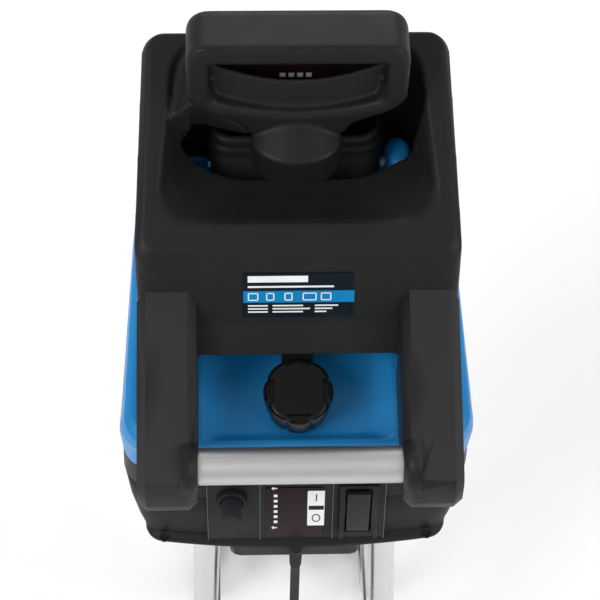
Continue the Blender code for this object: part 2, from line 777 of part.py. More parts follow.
def hopper_shell():
    """The funnel: skirt, rear face, slanted rim and the bowl with its feed hole, as one wall."""
    outer = [
        ((-33.0, 174.0), (137.0, 129.0), (top_z(-33.0) + 2.5, top_z(174.0) + 2.5), (12.0, 26.0)),
        ((-34.0, 176.0), (137.5, 129.5), (225.0, 262.0), (12.0, 26.0)),
        ((-16.0, 177.0), (137.8, 130.0), (248.0, 290.0), (12.0, 24.0)),
        ((3.0, 178.0), (138.0, 131.0), (301.0, 388.0), (12.0, 18.0)),
        ((6.0, 178.0), (138.0, 131.5), (310.0, 400.0), (12.0, 16.0)),
        ((11.0, 173.0), (131.5, 125.5), (318.0, 408.0), (10.0, 12.0)),
        ((30.0, 167.0), (118.5, 106.5), (328.6, 404.0), (20.0, 26.0)),
        ((44.0, 160.0), (107.0, 101.0), (324.0, 378.0), (26.0, 28.0)),
        ((89.0, 152.0), (100.0, 95.0), (315.0, 338.0), ((62.0, 34.0), 26.0)),
    ]
    inner = [
        ((89.0, 152.0), (100.0, 95.0), (311.5, 334.0), ((62.0, 34.0), 26.0)),
        ((40.0, 163.0), (110.0, 104.0), (319.0, 372.0), (28.0, 30.0)),
        ((26.0, 169.5), (121.5, 109.5), (323.0, 398.0), (20.0, 26.0)),
        ((13.0, 171.0), (131.0, 124.0), (313.0, 396.0), (9.0, 12.0)),
        ((7.0, 174.0), (134.0, 127.0), (301.0, 386.0), (9.0, 14.0)),
        ((-12.0, 173.2), (134.0, 126.2), (247.0, 289.0), (9.0, 20.0)),
        ((-30.0, 172.3), (133.7, 125.7), (226.0, 262.0), (9.0, 22.0)),
        ((-29.0, 170.3), (133.3, 125.3), (top_z(-29.0) + 2.5, top_z(170.0) + 2.5), (9.0, 22.0)),
    ]
    rings = [plan_ring(*section) for section in outer + inner]
    shell = loft("hopper_shell", rings, "black_plastic", closed=True, origin=HINGE)
    window = box("cut_hopper_rear", (-82.0, -60.0, 100.0), (82.0, 20.0, 224.5), "black_plastic")
    slot = hood_outline(-GAP - 0.3)
    seat = loft("cut_hood_seat", [slot(z) for z in (300.0, 500.0)], "black_plastic")
    cut(shell, window, seat)
    hinge_knuckles(shell)
    solve_as_manifold(shell)


def hood_outline(inset):
    """Rings of the feed head's plan, drawn in from its outer face by an inset."""
    def ring(z, extra=0.0):
        shrink = inset + extra
        return plan_ring(
            (HOOD_REAR_Y + shrink, HOOD_FRONT_Y - shrink),
            (92.0 - shrink, 90.0 - shrink),
            (z, z),
            (max(10.0 - shrink, 2.0), max(12.0 - shrink, 2.0)),
        )
    return ring


def feed_hood():
    """The upright feed head with its letter-box mouth, and the nose under the mouth."""
    outer = hood_outline(0.0)
    foot = HOOD_FOOT_Z
    rings = [outer(foot), outer(HOOD_TOP_Z - 8), outer(HOOD_TOP_Z - 2.5, 3.0), outer(HOOD_TOP_Z, 8.0)]
    hood = loft("feed_hood", rings, "black_plastic", origin=HINGE)
    hollow = hood_outline(WALL)
    room = loft("cut_hood_room", [hollow(foot - 60), hollow(HOOD_TOP_Z - 6)], "black_plastic")
    apron_rings = [outer(330.0), outer(foot + 1)]
    apron = loft("hood_apron", apron_rings, "black_plastic")
    behind = box("cut_apron", (-120.0, 90.0, 300.0), (120.0, 134.0, foot), "black_plastic")
    cut(apron, behind)
    mouth = box("cut_mouth", (-70.0, 90.0, 384.0), (70.0, 117.0, 435.0), "black_plastic")
    add_bevel(mouth, 5.0)
    join(hood, apron, nose())
    cut(hood, room, mouth)
    join(hood, baffle())
    return solve_as_manifold(hood)


def baffle():
    """The curved wall behind the mouth. Branches go over it and down its far side."""
    arc = []
    for k in range(17):
        x = 88.0 * (k / 8 - 1)
        arc.append((x, BAFFLE_Y + BAFFLE_CURVE - math.sqrt(BAFFLE_CURVE**2 - x**2)))
    outline = arc + [(x, y + 3.0) for x, y in reversed(arc)]
    rings = [[(x, y, z) for x, y in outline] for z in (HOOD_FOOT_Z + 2, BAFFLE_TOP_Z)]
    return loft("hood_baffle", rings, "black_plastic")


def nose():
    """A blunt half-round beak with a crowned top, standing out below the mouth."""
    back = 114.0
    sections = (
        (312.0, 18.0, 94.0),
        (318.0, 30.0, 86.0),
        (330.0, 37.0, 82.5),
        (344.0, 38.5, 81.5),
        (348.0, 37.0, 84.0),
    )
    steps = 12
    rings = []
    for z, half, tip in sections:
        ring = []
        for k in range(steps + 1):
            turn = math.pi * k / steps
            y = 106.0 - (106.0 - tip) * math.sin(turn)
            crown = 12.0 * (y - tip) / (back - tip) if z > 344.0 else 0.0
            ring.append((-half * math.cos(turn), y, z + crown))
        crown = 12.0 if z > 344.0 else 0.0
        ring += [(half, back, z + crown), (0.0, back, z + 1.1 * crown), (-half, back, z + crown)]
        rings.append(ring)
    return loft("hood_nose", rings, "black_plastic")


def feed_throat():
    """The inner chute, from under the feed head back down to the inlet of the cutting chamber."""
    low = top_z(88.0) + 3.0
    outer = [
        ((58.0, 120.0), (50.0, 50.0), (top_z(58.0) + 3.0, top_z(120.0) + 3.0), (14.0, 14.0)),
        ((100.0, 160.0), (74.0, 74.0), (low + 62.0, low + 70.0), (14.0, 14.0)),
        ((128.0, 164.0), (77.0, 77.0), (319.0, 322.0), (14.0, 14.0)),
    ]
    rings = shell_rings(outer, 3.0)
    return loft("feed_throat", rings, "black_plastic", closed=True, origin=HINGE)


def arm(side, name):
    """One of the two arms that carry the grip. It lies against the rear face of the hopper."""
    outline = (
        (-6.4, 279.0),
        (-80.0, 244.5),
        (-150.0, 211.0),
        (-157.0, 203.0),
        (-160.0, 176.0),
        (-150.0, 165.0),
        (-96.0, 166.0),
        (-34.6, top_z(-34.6) + 2.5),
        (-34.6, 225.2),
        (-16.6, 248.2),
    )
    span = sorted(side * x for x in ARM_X)
    made = add_bevel(prism(name, outline, span, "black_plastic", HINGE), 5.0, 2)
    reach = sorted((-30.0 * side, 16.0 * side))
    bore = along_x(GRIP_RADIUS + GAP, reach, GRIP_Y, GRIP_Z, f"cut_{name}", 32)
    bore.location.x = side * ARM_X[0] * MM
    return cut(made, bore)


def clamp_tab():
    """The tongue of the hopper that reaches under the knob, with a clear hole for its stud."""
    rings = []
    for height in (0.8, 4.8):
        ring = []
        for x, y in ((-14.0, KNOB_Y), (14.0, KNOB_Y), (14.0, -18.0), (-14.0, -18.0)):
            base = top_z(y) - RECESS_DEPTH
            ring.append((x, y, base + height))
        for k in range(1, 8):
            turn = math.pi * k / 8
            y = KNOB_Y - 14.0 * math.sin(turn)
            ring.insert(k, (-14.0 * math.cos(turn), y, top_z(y) - RECESS_DEPTH + height))
        rings.append(ring)
    tab = loft("clamp_tab", rings, "black_plastic", origin=HINGE)
    root = box("tab_root", (-14.0, -22.0, 176.0), (14.0, -18.0, 234.0), "black_plastic")
    join(tab, root)
    hole = rod(6.6, -12.0, 20.0)
    bore = turned("cut_tab_bore", hole, "black_plastic", knob_point(0.0), tilt=KNOB_TILT, steps=24)
    return cut(tab, bore)


def clamp_knob():
    """The lobed clamping knob with its stud, on a tilted axis."""
    steps = KNOB_LOBES * STEPS_PER_LOBE
    bm = bmesh.new()
    levels = (
        (7.0, 20.0, 0.0),
        (12.0, KNOB_RADIUS - 3, 0.6),
        (36.0, KNOB_RADIUS - 1, 1.0),
        (42.0, KNOB_RADIUS - 4.5, 0.8),
    )
    rings = [[polar(STUD_RADIUS, k, steps, height) for k in range(steps)] for height in (-16.0, 7.0)]
    for height, radius, depth in levels:
        ring = []
        for k in range(steps):
            lobe = 0.5 - 0.5 * math.cos(math.tau * k / STEPS_PER_LOBE)
            ring.append(polar(radius - 3.2 * depth * lobe, k, steps, height))
        rings.append(ring)
    rings.append([polar(15.0, k, steps, 42.0) for k in range(steps)])
    rings.append([polar(14.0, k, steps, 39.0) for k in range(steps)])
    rows = [[bm.verts.new(point) for point in ring] for ring in rings]
    bm.faces.new(list(reversed(rows[0])))
    bm.faces.new(rows[-1])
    for low, high in zip(rows, rows[1:]):
        for i in range(steps):
            j = (i + 1) % steps
            bm.faces.new((low[i], low[j], high[j], high[i]))
    bm.transform(Matrix.Rotation(KNOB_TILT, 4, "X"))
    bm.transform(Matrix.Translation(Vector(knob_point(0.0))))
    return add_object("clamp_knob", bm, "black_plastic", knob_point(0.0))


def polar(radius, k, steps, height):
    turn = math.tau * k / steps
    return (radius * math.cos(turn), radius * math.sin(turn), height)


def hinge_lugs(cover):
    """Joins to the housing's front the two lugs that hold the hopper's hinge pins."""
    for side, word in ((-1, "left"), (1, "right")):
        x = side * 70.0
        low = (x - 9, 166.0, HINGE_Z - 24)
        lug = box(f"hinge_lug_{word}", low, (x + 9, HINGE_Y + 8, HINGE_Z + 6), "blue_plastic")
        hole = along_x(3.3, (-20.0, 20.0), HINGE_Y, HINGE_Z, f"cut_lug_{word}", 20)
        hole.location.x = x * MM
        join(cover, lug)
        cut(cover, hole)


def hinge_knuckles(shell):
    """Joins to the hopper the knuckles beside the lugs, and makes the pins through both."""
    for side, word in ((-1, "left"), (1, "right")):
        outline = (
            (HINGE_Y - 4, HINGE_Z - 7),
            (HINGE_Y + 7, HINGE_Z - 7),
            (HINGE_Y + 7, HINGE_Z + 23),
            (172.0, HINGE_Z + 23),
            (172.0, HINGE_Z + 12),
            (HINGE_Y - 4, HINGE_Z + 9),
        )
        span = (side * 90.0 - 9, side * 90.0 + 9)
        knuckle = prism(f"hopper_knuckle_{word}", outline, span, "black_plastic")
        hole = along_x(3.3, (-20.0, 20.0), HINGE_Y, HINGE_Z, f"cut_knuckle_{word}", 20)
        hole.location.x = side * 90.0 * MM
        join(shell, knuckle)
        cut(shell, hole)
        pin = rod(3.0, *sorted((side * 58.0, side * 100.0)))
        turned(f"hinge_pin_{word}", pin, "steel", HINGE, "X", 16)


def labels():
    """The rating label on the rear face of the hopper, and the strip inside the feed mouth."""
    foot = (-16.0, 248.0)
    head = (3.0, 301.0)
    way = Vector((head[0] - foot[0], head[1] - foot[1]))
    length = way.length
    way.normalize()
    out = Vector((-way.y, way.x))
    rings = []
    for x in (-47.0, 46.5):
        ring = []
        for along, lift in ((7.0, GAP), (length - 4.0, GAP), (length - 4.0, 1.1), (7.0, 1.1)):
            spot = Vector(foot) + way * along + out * lift
            ring.append((x, spot.x, spot.y))
        rings.append(ring)
    loft("rating_label", rings, "label_navy", origin=HINGE)


def grip():
    reach = ARM_X[0] + 14.0
    bar = rod(GRIP_RADIUS, -reach, reach)
    turned("grip_tube", bar, "bright_tube", (0.0, GRIP_Y, GRIP_Z), "X", 32, origin=HINGE)


def hopper():
    hopper_shell()
    feed_hood()
    feed_throat()
    for side, word in ((-1, "left"), (1, "right")):
        arm(side, f"arm_{word}")
    grip()
    clamp_tab()
    clamp_knob()
    labels()


# ---------------------------------------------------------------- cord


def cord():
    gland = ((0.0, -0.5), (6.5, -0.5), (6.5, -12.0), (5.4, -34.0), (0.0, -34.0))
    turned("cord_gland", gland, "rubber", (0.0, CORD_Y, 0.0), steps=20)
    start = -34.0 - GAP
    route = []
    for k in range(25):
        share = k / 24
        sway = -7.0 * math.sin(math.pi * share) ** 2
        route.append((0.0, CORD_Y + sway, start + (PLUG_TOP_Z + GAP - start) * share))
    tube("cord_tube", route, CORD_RADIUS, "rubber", 2)
    plug = (
        (0.0, PLUG_TOP_Z),
        (6.5, PLUG_TOP_Z),
        (8.0, PLUG_TOP_Z - 16),
        (16.0, PLUG_TOP_Z - 26),
        (19.0, PLUG_TOP_Z - 36),
        (19.0, PLUG_TOP_Z - 62),
        (0.0, PLUG_TOP_Z - 62),
    )
    turned("plug_body", plug, "rubber", (0.0, CORD_Y, 0.0), steps=24)
    for side, word in ((-1, "left"), (1, "right")):
        top = PLUG_TOP_Z - 62 - GAP
        pin = ((0.0, top), (2.4, top), (2.4, top - 17), (1.2, top - 19), (0.0, top - 19))
        turned(f"plug_pin_{word}", pin, "steel", (side * 9.5, CORD_Y, 0.0), steps=12)


def main():
    clear_scene()
    stand()
    base_shell()
    base_ring()
    bottom_pan()
    discharge_chute()
    upper_housing()
    console()
    drive()
    hopper()
    cord()


main()
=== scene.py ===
"""Looks of the garden shredder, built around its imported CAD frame.

Shapes are given in millimetres in the machine's own frame, as in the CAD: X right, Y away from the
operator, Z up from the base's lower lip. place() turns such a point into the frame's metres.
"""

import math

import bmesh
import bpy
from mathutils import Matrix, Vector


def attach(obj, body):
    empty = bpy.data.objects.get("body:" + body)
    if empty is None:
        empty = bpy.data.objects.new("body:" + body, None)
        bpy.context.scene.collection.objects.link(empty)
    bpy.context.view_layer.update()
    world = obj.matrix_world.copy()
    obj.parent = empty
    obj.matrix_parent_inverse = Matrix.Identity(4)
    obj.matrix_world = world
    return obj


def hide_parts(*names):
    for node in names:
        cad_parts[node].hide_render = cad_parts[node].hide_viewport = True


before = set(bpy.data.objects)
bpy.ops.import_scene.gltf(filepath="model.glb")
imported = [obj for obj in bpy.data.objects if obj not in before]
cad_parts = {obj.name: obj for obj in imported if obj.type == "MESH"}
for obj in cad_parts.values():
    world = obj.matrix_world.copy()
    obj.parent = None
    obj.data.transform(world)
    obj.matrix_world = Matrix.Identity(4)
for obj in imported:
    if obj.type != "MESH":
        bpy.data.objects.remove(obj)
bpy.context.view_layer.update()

MM = 0.001
LIP_HEIGHT = 415.0
SHIFT_Y = 8.5
WALL = 3.5
GAP = 0.3

SEAM_Z = 62.0
BLUE_Z = 100.0
REAR_FOOT_Y = -97.5
REAR_FOOT_Z = 7.5
REAR_LEAN = math.radians(13.2)
TOP_SLOPE = math.tan(math.radians(15.0))
RECESS_DEPTH = 9.0
KNOB_Y = -49.0
KNOB_TILT = math.radians(15.0)
KNOB_FLUTES = 8
GRIP_Y = -129.0
GRIP_Z = 200.0
GRIP_RADIUS = 16.0
HINGE_Y = 182.0
HINGE_Z = 229.0
HOOD_REAR_Y = 109.0
HOOD_FRONT_Y = 156.0
HOOD_TOP_Z = 455.0
AXLE_Y = -140.0
AXLE_Z = -340.0
WHEEL_X = 137.0
CORD_Y = -104.5
CORD_RADIUS = 4.6
CORD_TOP_Z = -34.0
PLUG_TOP_Z = -302.0
ARM_SPAN = (87.0, 137.5)
WHEEL_HALF = 15.0
PRINT_THICK = 0.12

VIEW_ELEVATION = math.radians(55.0)
VIEW_YAW = -0.05126
VIEW_ROLL = 0.03194

# The height and the two half-widths of the low dome on the cover, from its foot up.
DOME = (
    (205.0, 14.5, 21.0),
    (270.0, 14.0, 20.0),
    (279.0, 12.5, 18.0),
    (284.0, 9.5, 14.0),
    (286.0, 4.0, 6.0),
)


def place(x, y, z):
    return Vector((x * MM, (y + SHIFT_Y) * MM, (z + LIP_HEIGHT) * MM))


# ---------------------------------------------------------------- camera, light and floor


def make_camera():
    """From behind the grip, looking down on the machine."""
    yaw = Matrix.Rotation(VIEW_YAW, 3, "Z")
    spot = yaw @ Vector((1.8, -863.0, 1492.0))
    ahead = yaw @ Vector((0.0, math.cos(VIEW_ELEVATION), -math.sin(VIEW_ELEVATION)))
    right = yaw @ Vector((1.0, 0.0, 0.0))
    up = yaw @ Vector((0.0, math.sin(VIEW_ELEVATION), math.cos(VIEW_ELEVATION)))
    level = (right + VIEW_ROLL * up).normalized()
    upright = (up - VIEW_ROLL * right).normalized()
    data = bpy.data.cameras.new("camera")
    data.lens = 105.0
    data.sensor_width = 36.0
    data.clip_start = 0.05
    data.clip_end = 30.0
    camera = bpy.data.objects.new("camera", data)
    bpy.context.scene.collection.objects.link(camera)
    turn = Matrix((level, upright, -ahead)).transposed().to_4x4()
    camera.matrix_world = Matrix.Translation(place(*spot)) @ turn
    bpy.context.scene.camera = camera


def area_light(name, spot, target, power, size):
    data = bpy.data.lights.new(name, "AREA")
    data.shape = "RECTANGLE"
    data.size, data.size_y = size
    data.energy = power
    lamp = bpy.data.objects.new(name, data)
    lamp.location = spot
    lamp.rotation_euler = (Vector(target) - Vector(spot)).to_track_quat("-Z", "Y").to_euler()
    bpy.context.scene.collection.objects.link(lamp)


def make_studio():
    world = bpy.data.worlds.new("studio")
    world.use_nodes = True
    shade = world.node_tree.nodes["Background"]
    shade.inputs["Color"].default_value = (1.0, 1.0, 1.0, 1.0)
    shade.inputs["Strength"].default_value = 0.68
    bpy.context.scene.world = world
    middle = (0.0, 0.0, 0.6)
    area_light("key", (-1.9, -1.5, 2.6), middle, 42.0, (1.3, 1.3))
    area_light("fill", (2.0, -1.2, 1.9), middle, 22.0, (1.4, 1.4))
    area_light("back", (0.2, 2.2, 2.2), middle, 22.0, (2.0, 1.0))
    bm = bmesh.new()
    bmesh.ops.create_grid(bm, x_segments=1, y_segments=1, size=12.0)
    mesh = bpy.data.meshes.new("floor")
    bm.to_mesh(mesh)
    bm.free()
    floor = bpy.data.objects.new("floor", mesh)
    bpy.context.scene.collection.objects.link(floor)
    matter = bpy.data.materials.new("floor")
    matter.use_nodes = True
    shader = matter.node_tree.nodes["Principled BSDF"]
    shader.inputs["Base Color"].default_value = (0.93, 0.93, 0.93, 1.0)
    shader.inputs["Roughness"].default_value = 0.9
    shader.inputs["Specular IOR Level"].default_value = 0.1
    mesh.materials.append(matter)
    bpy.context.scene.view_settings.view_transform = "Standard"


# ---------------------------------------------------------------- materials


class Nodes:
    """Short ways to add and wire shader nodes in one material."""

    def __init__(self, name):
        self.material = bpy.data.materials.new(name)
        self.material.use_nodes = True
        self.tree = self.material.node_tree
        self.shader = self.tree.nodes["Principled BSDF"]

    def add(self, kind, **values):
        node = self.tree.nodes.new(kind)
        for key, value in values.items():
            if hasattr(node, key):
                setattr(node, key, value)
            else:
                node.inputs[key.replace("_", " ")].default_value = value
        return node

    def wire(self, source, target):
        self.tree.links.new(source, target)

    def place_at(self, scale=(1.0, 1.0, 1.0)):
        """Object coordinates, stretched to draw a pattern out along an axis."""
        spot = self.add("ShaderNodeTexCoord")
        stretch = self.add("ShaderNodeMapping")
        stretch.inputs["Scale"].default_value = scale
        self.wire(spot.outputs["Object"], stretch.inputs["Vector"])
        return stretch.outputs["Vector"]

    def noise(self, vector, scale, detail=2.0, roughness=0.5):
        node = self.add("ShaderNodeTexNoise", Scale=scale, Detail=detail, Roughness=roughness)
        self.wire(vector, node.inputs["Vector"])
        return node.outputs["Fac"]

    def ramp(self, source, low, high, start, end):
        """Maps source from low..high to start..end, which are numbers or colours."""
        node = self.add("ShaderNodeValToRGB")
        points = node.color_ramp.elements
        points[0].position, points[1].position = low, high
        for point, value in zip(points, (start, end)):
            point.color = (*value, 1.0) if isinstance(value, tuple) else (value, value, value, 1.0)
        self.wire(source, node.inputs["Fac"])
        return node.outputs["Color"]

    def mix(self, factor, first, second, blend="MIX"):
        node = self.add("ShaderNodeMix", data_type="RGBA", blend_type=blend)
        sockets = [s for s in node.inputs if s.type == "RGBA"]
        self.put(factor, node.inputs["Factor"])
        self.put(first, sockets[0])
        self.put(second, sockets[1])
        return [s for s in node.outputs if s.type == "RGBA"][0]

    def put(self, value, socket):
        if isinstance(value, bpy.types.NodeSocket):
            self.wire(value, socket)
        elif isinstance(value, tuple):
            socket.default_value = (*value, 1.0)
        else:
            socket.default_value = value

    def bump(self, height, strength, distance, normal=None):
        node = self.add("ShaderNodeBump", Strength=strength, Distance=distance)
        self.wire(height, node.inputs["Height"])
        if normal is not None:
            self.wire(normal, node.inputs["Normal"])
        return node.outputs["Normal"]

    def edges(self):
        """High on outer edges and low elsewhere: the mask for paler edges that are partly wear and partly a
        painted highlight.
        """
        shape = self.add("ShaderNodeNewGeometry")
        return self.ramp(shape.outputs["Pointiness"], 0.53, 0.62, 0.0, 1.0)


def shaded(colour, factor):
    return tuple(min(1.0, part * factor) for part in colour)


def moulded(name, colour, roughness, grain=0.12, specular=0.25, edge_wear_and_highlight=1.9):
    """Moulded plastic: spark-eroded grain, faint cloudiness, and paler outer edges that are partly rubbed
    wear and partly a painted highlight.
    """
    n = Nodes(name)
    spot = n.place_at()
    cloud = n.noise(spot, 14.0, 3.0)
    tint = n.ramp(cloud, 0.3, 0.7, shaded(colour, 0.9), shaded(colour, 1.12))
    speck = n.noise(spot, 900.0, 1.0)
    tint = n.mix(n.ramp(speck, 0.35, 0.75, 0.0, 0.22), tint, shaded(colour, 1.5))
    # Paler outer edges: partly rubbed wear, partly a painted highlight of light catching the edges.
    tint = n.mix(n.edges(), tint, shaded(colour, edge_wear_and_highlight))
    n.wire(tint, n.shader.inputs["Base Color"])
    smudge = n.noise(spot, 38.0, 4.0, 0.6)
    n.wire(n.ramp(smudge, 0.3, 0.75, roughness - 0.07, roughness + 0.08), n.shader.inputs["Roughness"])
    n.shader.inputs["Specular IOR Level"].default_value = specular
    cells = n.add("ShaderNodeTexVoronoi", Scale=1500.0)
    n.wire(spot, cells.inputs["Vector"])
    fine = n.bump(cells.outputs["Distance"], grain, 0.0003)
    wave = n.noise(spot, 26.0, 2.0)
    n.wire(n.bump(wave, 0.05, 0.0012, fine), n.shader.inputs["Normal"])
    return n.material


def drawn_metal(name, colour, roughness, along, lines=1400.0):
    """Bare or plated metal with fine lines along the way it was drawn or turned."""
    n = Nodes(name)
    stretch = tuple(0.02 if axis == along else 1.0 for axis in "XYZ")
    spot = n.place_at()
    streak = n.noise(n.place_at(stretch), lines, 3.0, 0.6)
    cloud = n.noise(spot, 9.0, 3.0)
    tint = n.ramp(streak, 0.3, 0.7, shaded(colour, 0.93), shaded(colour, 1.04))
    tint = n.mix(n.ramp(cloud, 0.35, 0.75, 0.0, 0.18), tint, shaded(colour, 0.82))
    n.wire(tint, n.shader.inputs["Base Color"])
    n.shader.inputs["Metallic"].default_value = 1.0
    rough = n.ramp(cloud, 0.3, 0.7, roughness - 0.05, roughness + 0.07)
    n.wire(rough, n.shader.inputs["Roughness"])
    n.wire(n.bump(streak, 0.1, 0.0001), n.shader.inputs["Normal"])
    return n.material


def rubber(name, colour, roughness=0.75):
    """Soft moulded rubber, with random dusty patches and paler outer edges that are partly wear and partly
    a painted highlight.
    """
    n = Nodes(name)
    spot = n.place_at()
    cloud = n.noise(spot, 40.0, 4.0, 0.6)
    tint = n.ramp(cloud, 0.3, 0.75, colour, shaded(colour, 1.7))
    # Paler outer edges: partly wear, partly a painted highlight.
    n.wire(n.mix(n.edges(), tint, shaded(colour, 2.4)), n.shader.inputs["Base Color"])
    n.wire(n.ramp(cloud, 0.3, 0.7, roughness - 0.08, roughness + 0.1), n.shader.inputs["Roughness"])
    n.shader.inputs["Specular IOR Level"].default_value = 0.3
    pores = n.noise(spot, 1300.0, 2.0)
    n.wire(n.bump(pores, 0.2, 0.0003), n.shader.inputs["Normal"])
    return n.material


def printed(name, colour, roughness=0.4):
    """Printed label film: almost even, with a faint orange-peel gloss."""
    n = Nodes(name)
    spot = n.place_at()
    cloud = n.noise(spot, 60.0, 2.0)
    tint = n.ramp(cloud, 0.3, 0.7, shaded(colour, 0.94), shaded(colour, 1.05))
    n.wire(tint, n.shader.inputs["Base Color"])
    n.wire(n.ramp(cloud, 0.3, 0.7, roughness - 0.05, roughness + 0.06), n.shader.inputs["Roughness"])
    n.shader.inputs["Specular IOR Level"].default_value = 0.15
    n.wire(n.bump(n.noise(spot, 420.0), 0.04, 0.0002), n.shader.inputs["Normal"])
    return n.material


def make_materials():
    return {
        "black": moulded("black_plastic", (0.0105, 0.0107, 0.0112), 0.45, specular=0.17, edge_wear_and_highlight=2.2),
        # The knob's base colour is darker than the other black plastic: painted shade for the hopper's
        # shadow that falls on the knob. Its gloss and grain are its own.
        "knob": moulded("knob_plastic", (0.0045, 0.0045, 0.005), 0.3, grain=0.04, specular=0.14, edge_wear_and_highlight=3.0),
        "switch": moulded("switch_plastic", (0.009, 0.009, 0.0095), 0.3, grain=0.03, specular=0.2),
        "blue": moulded("blue_plastic", (0.012, 0.205, 0.50), 0.36, grain=0.05, specular=0.2, edge_wear_and_highlight=1.15),
        "tube": drawn_metal("bright_tube", (0.66, 0.66, 0.67), 0.2, "Z"),
        "grip": drawn_metal("grip_aluminium", (0.56, 0.56, 0.56), 0.4, "X"),
        "steel": drawn_metal("steel", (0.48, 0.48, 0.49), 0.34, "X"),
        "blade": drawn_metal("blade_steel", (0.56, 0.56, 0.58), 0.22, "Y"),
        "cast": drawn_metal("cast_aluminium", (0.5, 0.5, 0.51), 0.5, "Y", 300.0),
        "copper": drawn_metal("copper_winding", (0.55, 0.23, 0.10), 0.36, "Z", 900.0),
        # Pale grey for the console's seam strips: a painted highlight along the edges of its shallow ribs.
        "seam": moulded("seam_highlight_plastic", (0.045, 0.046, 0.048), 0.4, grain=0.03),
        "rubber": rubber("rubber", (0.012, 0.012, 0.013)),
        "cord": rubber("cord_rubber", (0.013, 0.013, 0.014), 0.6),
        "navy": printed("label_navy", (0.001, 0.006, 0.012)),
        "label_blue": printed("label_blue", (0.0, 0.19, 0.44)),
        "brown": printed("label_brown", (0.017, 0.0075, 0.008)),
        "white": printed("label_white", (0.78, 0.79, 0.78), 0.5),
        "ink": printed("label_ink", (0.012, 0.012, 0.014), 0.5),
    }


MATTER = make_materials()


# ---------------------------------------------------------------- shape tools


def new_object(name, bm, finish, smooth=35.0):
    """Turns a bmesh of machine-frame millimetres into an object in the shared frame."""
    bmesh.ops.recalc_face_normals(bm, faces=bm.faces)
    if bm.calc_volume(signed=True) < 0.0:
        bmesh.ops.reverse_faces(bm, faces=bm.faces)
    for vertex in bm.verts:
        vertex.co = place(*vertex.co)
    mesh = bpy.data.meshes.new(name)
    bm.to_mesh(mesh)
    bm.free()
    mesh.shade_smooth()
    mesh.set_sharp_from_angle(angle=math.radians(smooth))
    mesh.materials.append(MATTER[finish])
    obj = bpy.data.objects.new(name, mesh)
    bpy.context.scene.collection.objects.link(obj)
    return obj


def loft(name, rings, finish="black", closed=False):
    """Skins equal rings of points. A closed loft joins its last ring to its first one."""
    bm = bmesh.new()
    rows = [[bm.verts.new(point) for point in ring] for ring in rings]
    pairs = list(zip(rows, rows[1:]))
    if closed:
        pairs.append((rows[-1], rows[0]))
    else:
        bm.faces.new(list(reversed(rows[0])))
        bm.faces.new(rows[-1])
    for low, high in pairs:
        for i in range(len(low)):
            j = (i + 1) % len(low)
            bm.faces.new((low[i], low[j], high[j], high[i]))
    return new_object(name, bm, finish)


def plan_ring(y_span, half_widths, heights, radii, steps=12):
    """A rounded outline seen from above. Each pair is (rear, front), and the plane may slope."""
    rear, front = y_span
    corners = (
        (half_widths[0], rear, radii[0], -90.0, -1),
        (half_widths[1], front, radii[1], 0.0, 1),
        (-half_widths[1], front, radii[1], 90.0, 1),
        (-half_widths[0], rear, radii[0], 180.0, -1),
    )
    ring = []
    for x, y, radius, start, way in corners:
        radius_x, radius_y = radius if isinstance(radius, tuple) else (radius, radius)
        centre_x = x - math.copysign(radius_x, x)
        centre_y = y - way * radius_y
        for k in range(steps + 1):
            turn = math.radians(start + 90.0 * k / steps)
            py = centre_y + radius_y * math.sin(turn)
            share = (py - rear) / (front - rear)
            pz = heights[0] + share * (heights[1] - heights[0])
            ring.append((centre_x + radius_x * math.cos(turn), py, pz))
    return ring


def smaller(radius, wall):
    if isinstance(radius, tuple):
        return tuple(smaller(part, wall) for part in radius)
    return max(radius - wall, 1.0)


def shell_rings(sections, wall):
    outer = [plan_ring(*section) for section in sections]
    inner = []
    for (rear, front), widths, heights, radii in reversed(sections):
        inside = (widths[0] - wall, widths[1] - wall)
        corners = [smaller(radius, wall) for radius in radii]
        inner.append(plan_ring((rear + wall, front - wall), inside, heights, corners))
    return outer + inner


def prism(name, outline, x_span, finish="black"):
    """A side outline of (y, z) points, extruded along X."""
    return loft(name, [[(x, y, z) for y, z in outline] for x in x_span], finish)


def box(name, low, high, finish="black"):
    outline = ((low[1], low[2]), (high[1], low[2]), (high[1], high[2]), (low[1], high[2]))
    return prism(name, outline, (low[0], high[0]), finish)


def turned(name, profile, finish, centre, axis="Z", steps=64, tilt=None):
    """A closed profile of (radius, height) points turned about an axis through centre."""
    bm = bmesh.new()
    rows = []
    for radius, height in profile:
        if radius == 0.0:
            rows.append([bm.verts.new((0.0, 0.0, height))])
            continue
        turns = [math.tau * k / steps for k in range(steps)]
        rows.append([bm.verts.new((radius * math.cos(t), radius * math.sin(t), height)) for t in turns])
    pairs = list(zip(rows, rows[1:]))
    if profile[0][0] or profile[-1][0]:
        pairs.append((rows[-1], rows[0]))
    for low, high in pairs:
        for i in range(steps):
            j = (i + 1) % steps
            corners = [low[i % len(low)], low[j % len(low)], high[j % len(high)], high[i % len(high)]]
            bm.faces.new(list(dict.fromkeys(corners)))
    if axis == "X":
        bm.transform(Matrix.Rotation(math.radians(90.0), 4, "Y"))
    if tilt is not None:
        bm.transform(Matrix.Rotation(tilt, 4, "X"))
    bm.transform(Matrix.Translation(Vector(centre)))
    return new_object(name, bm, finish)


def rod(radius, low, high):
    return ((0.0, low), (radius, low), (radius, high), (0.0, high))


def bevel(obj, width, segments=3, angle=30.0):
    step = obj.modifiers.new("bevel", "BEVEL")
    step.width = width * MM
    step.segments = segments
    step.limit_method = "ANGLE"
    step.angle_limit = math.radians(angle)
    step.harden_normals = False
    return obj


def combine(obj, others, operation):
    for other in others:
        step = obj.modifiers.new(operation.lower(), "BOOLEAN")
        step.operation = operation
        step.object = other
        step.solver = "EXACT"
    return settle(obj, others)


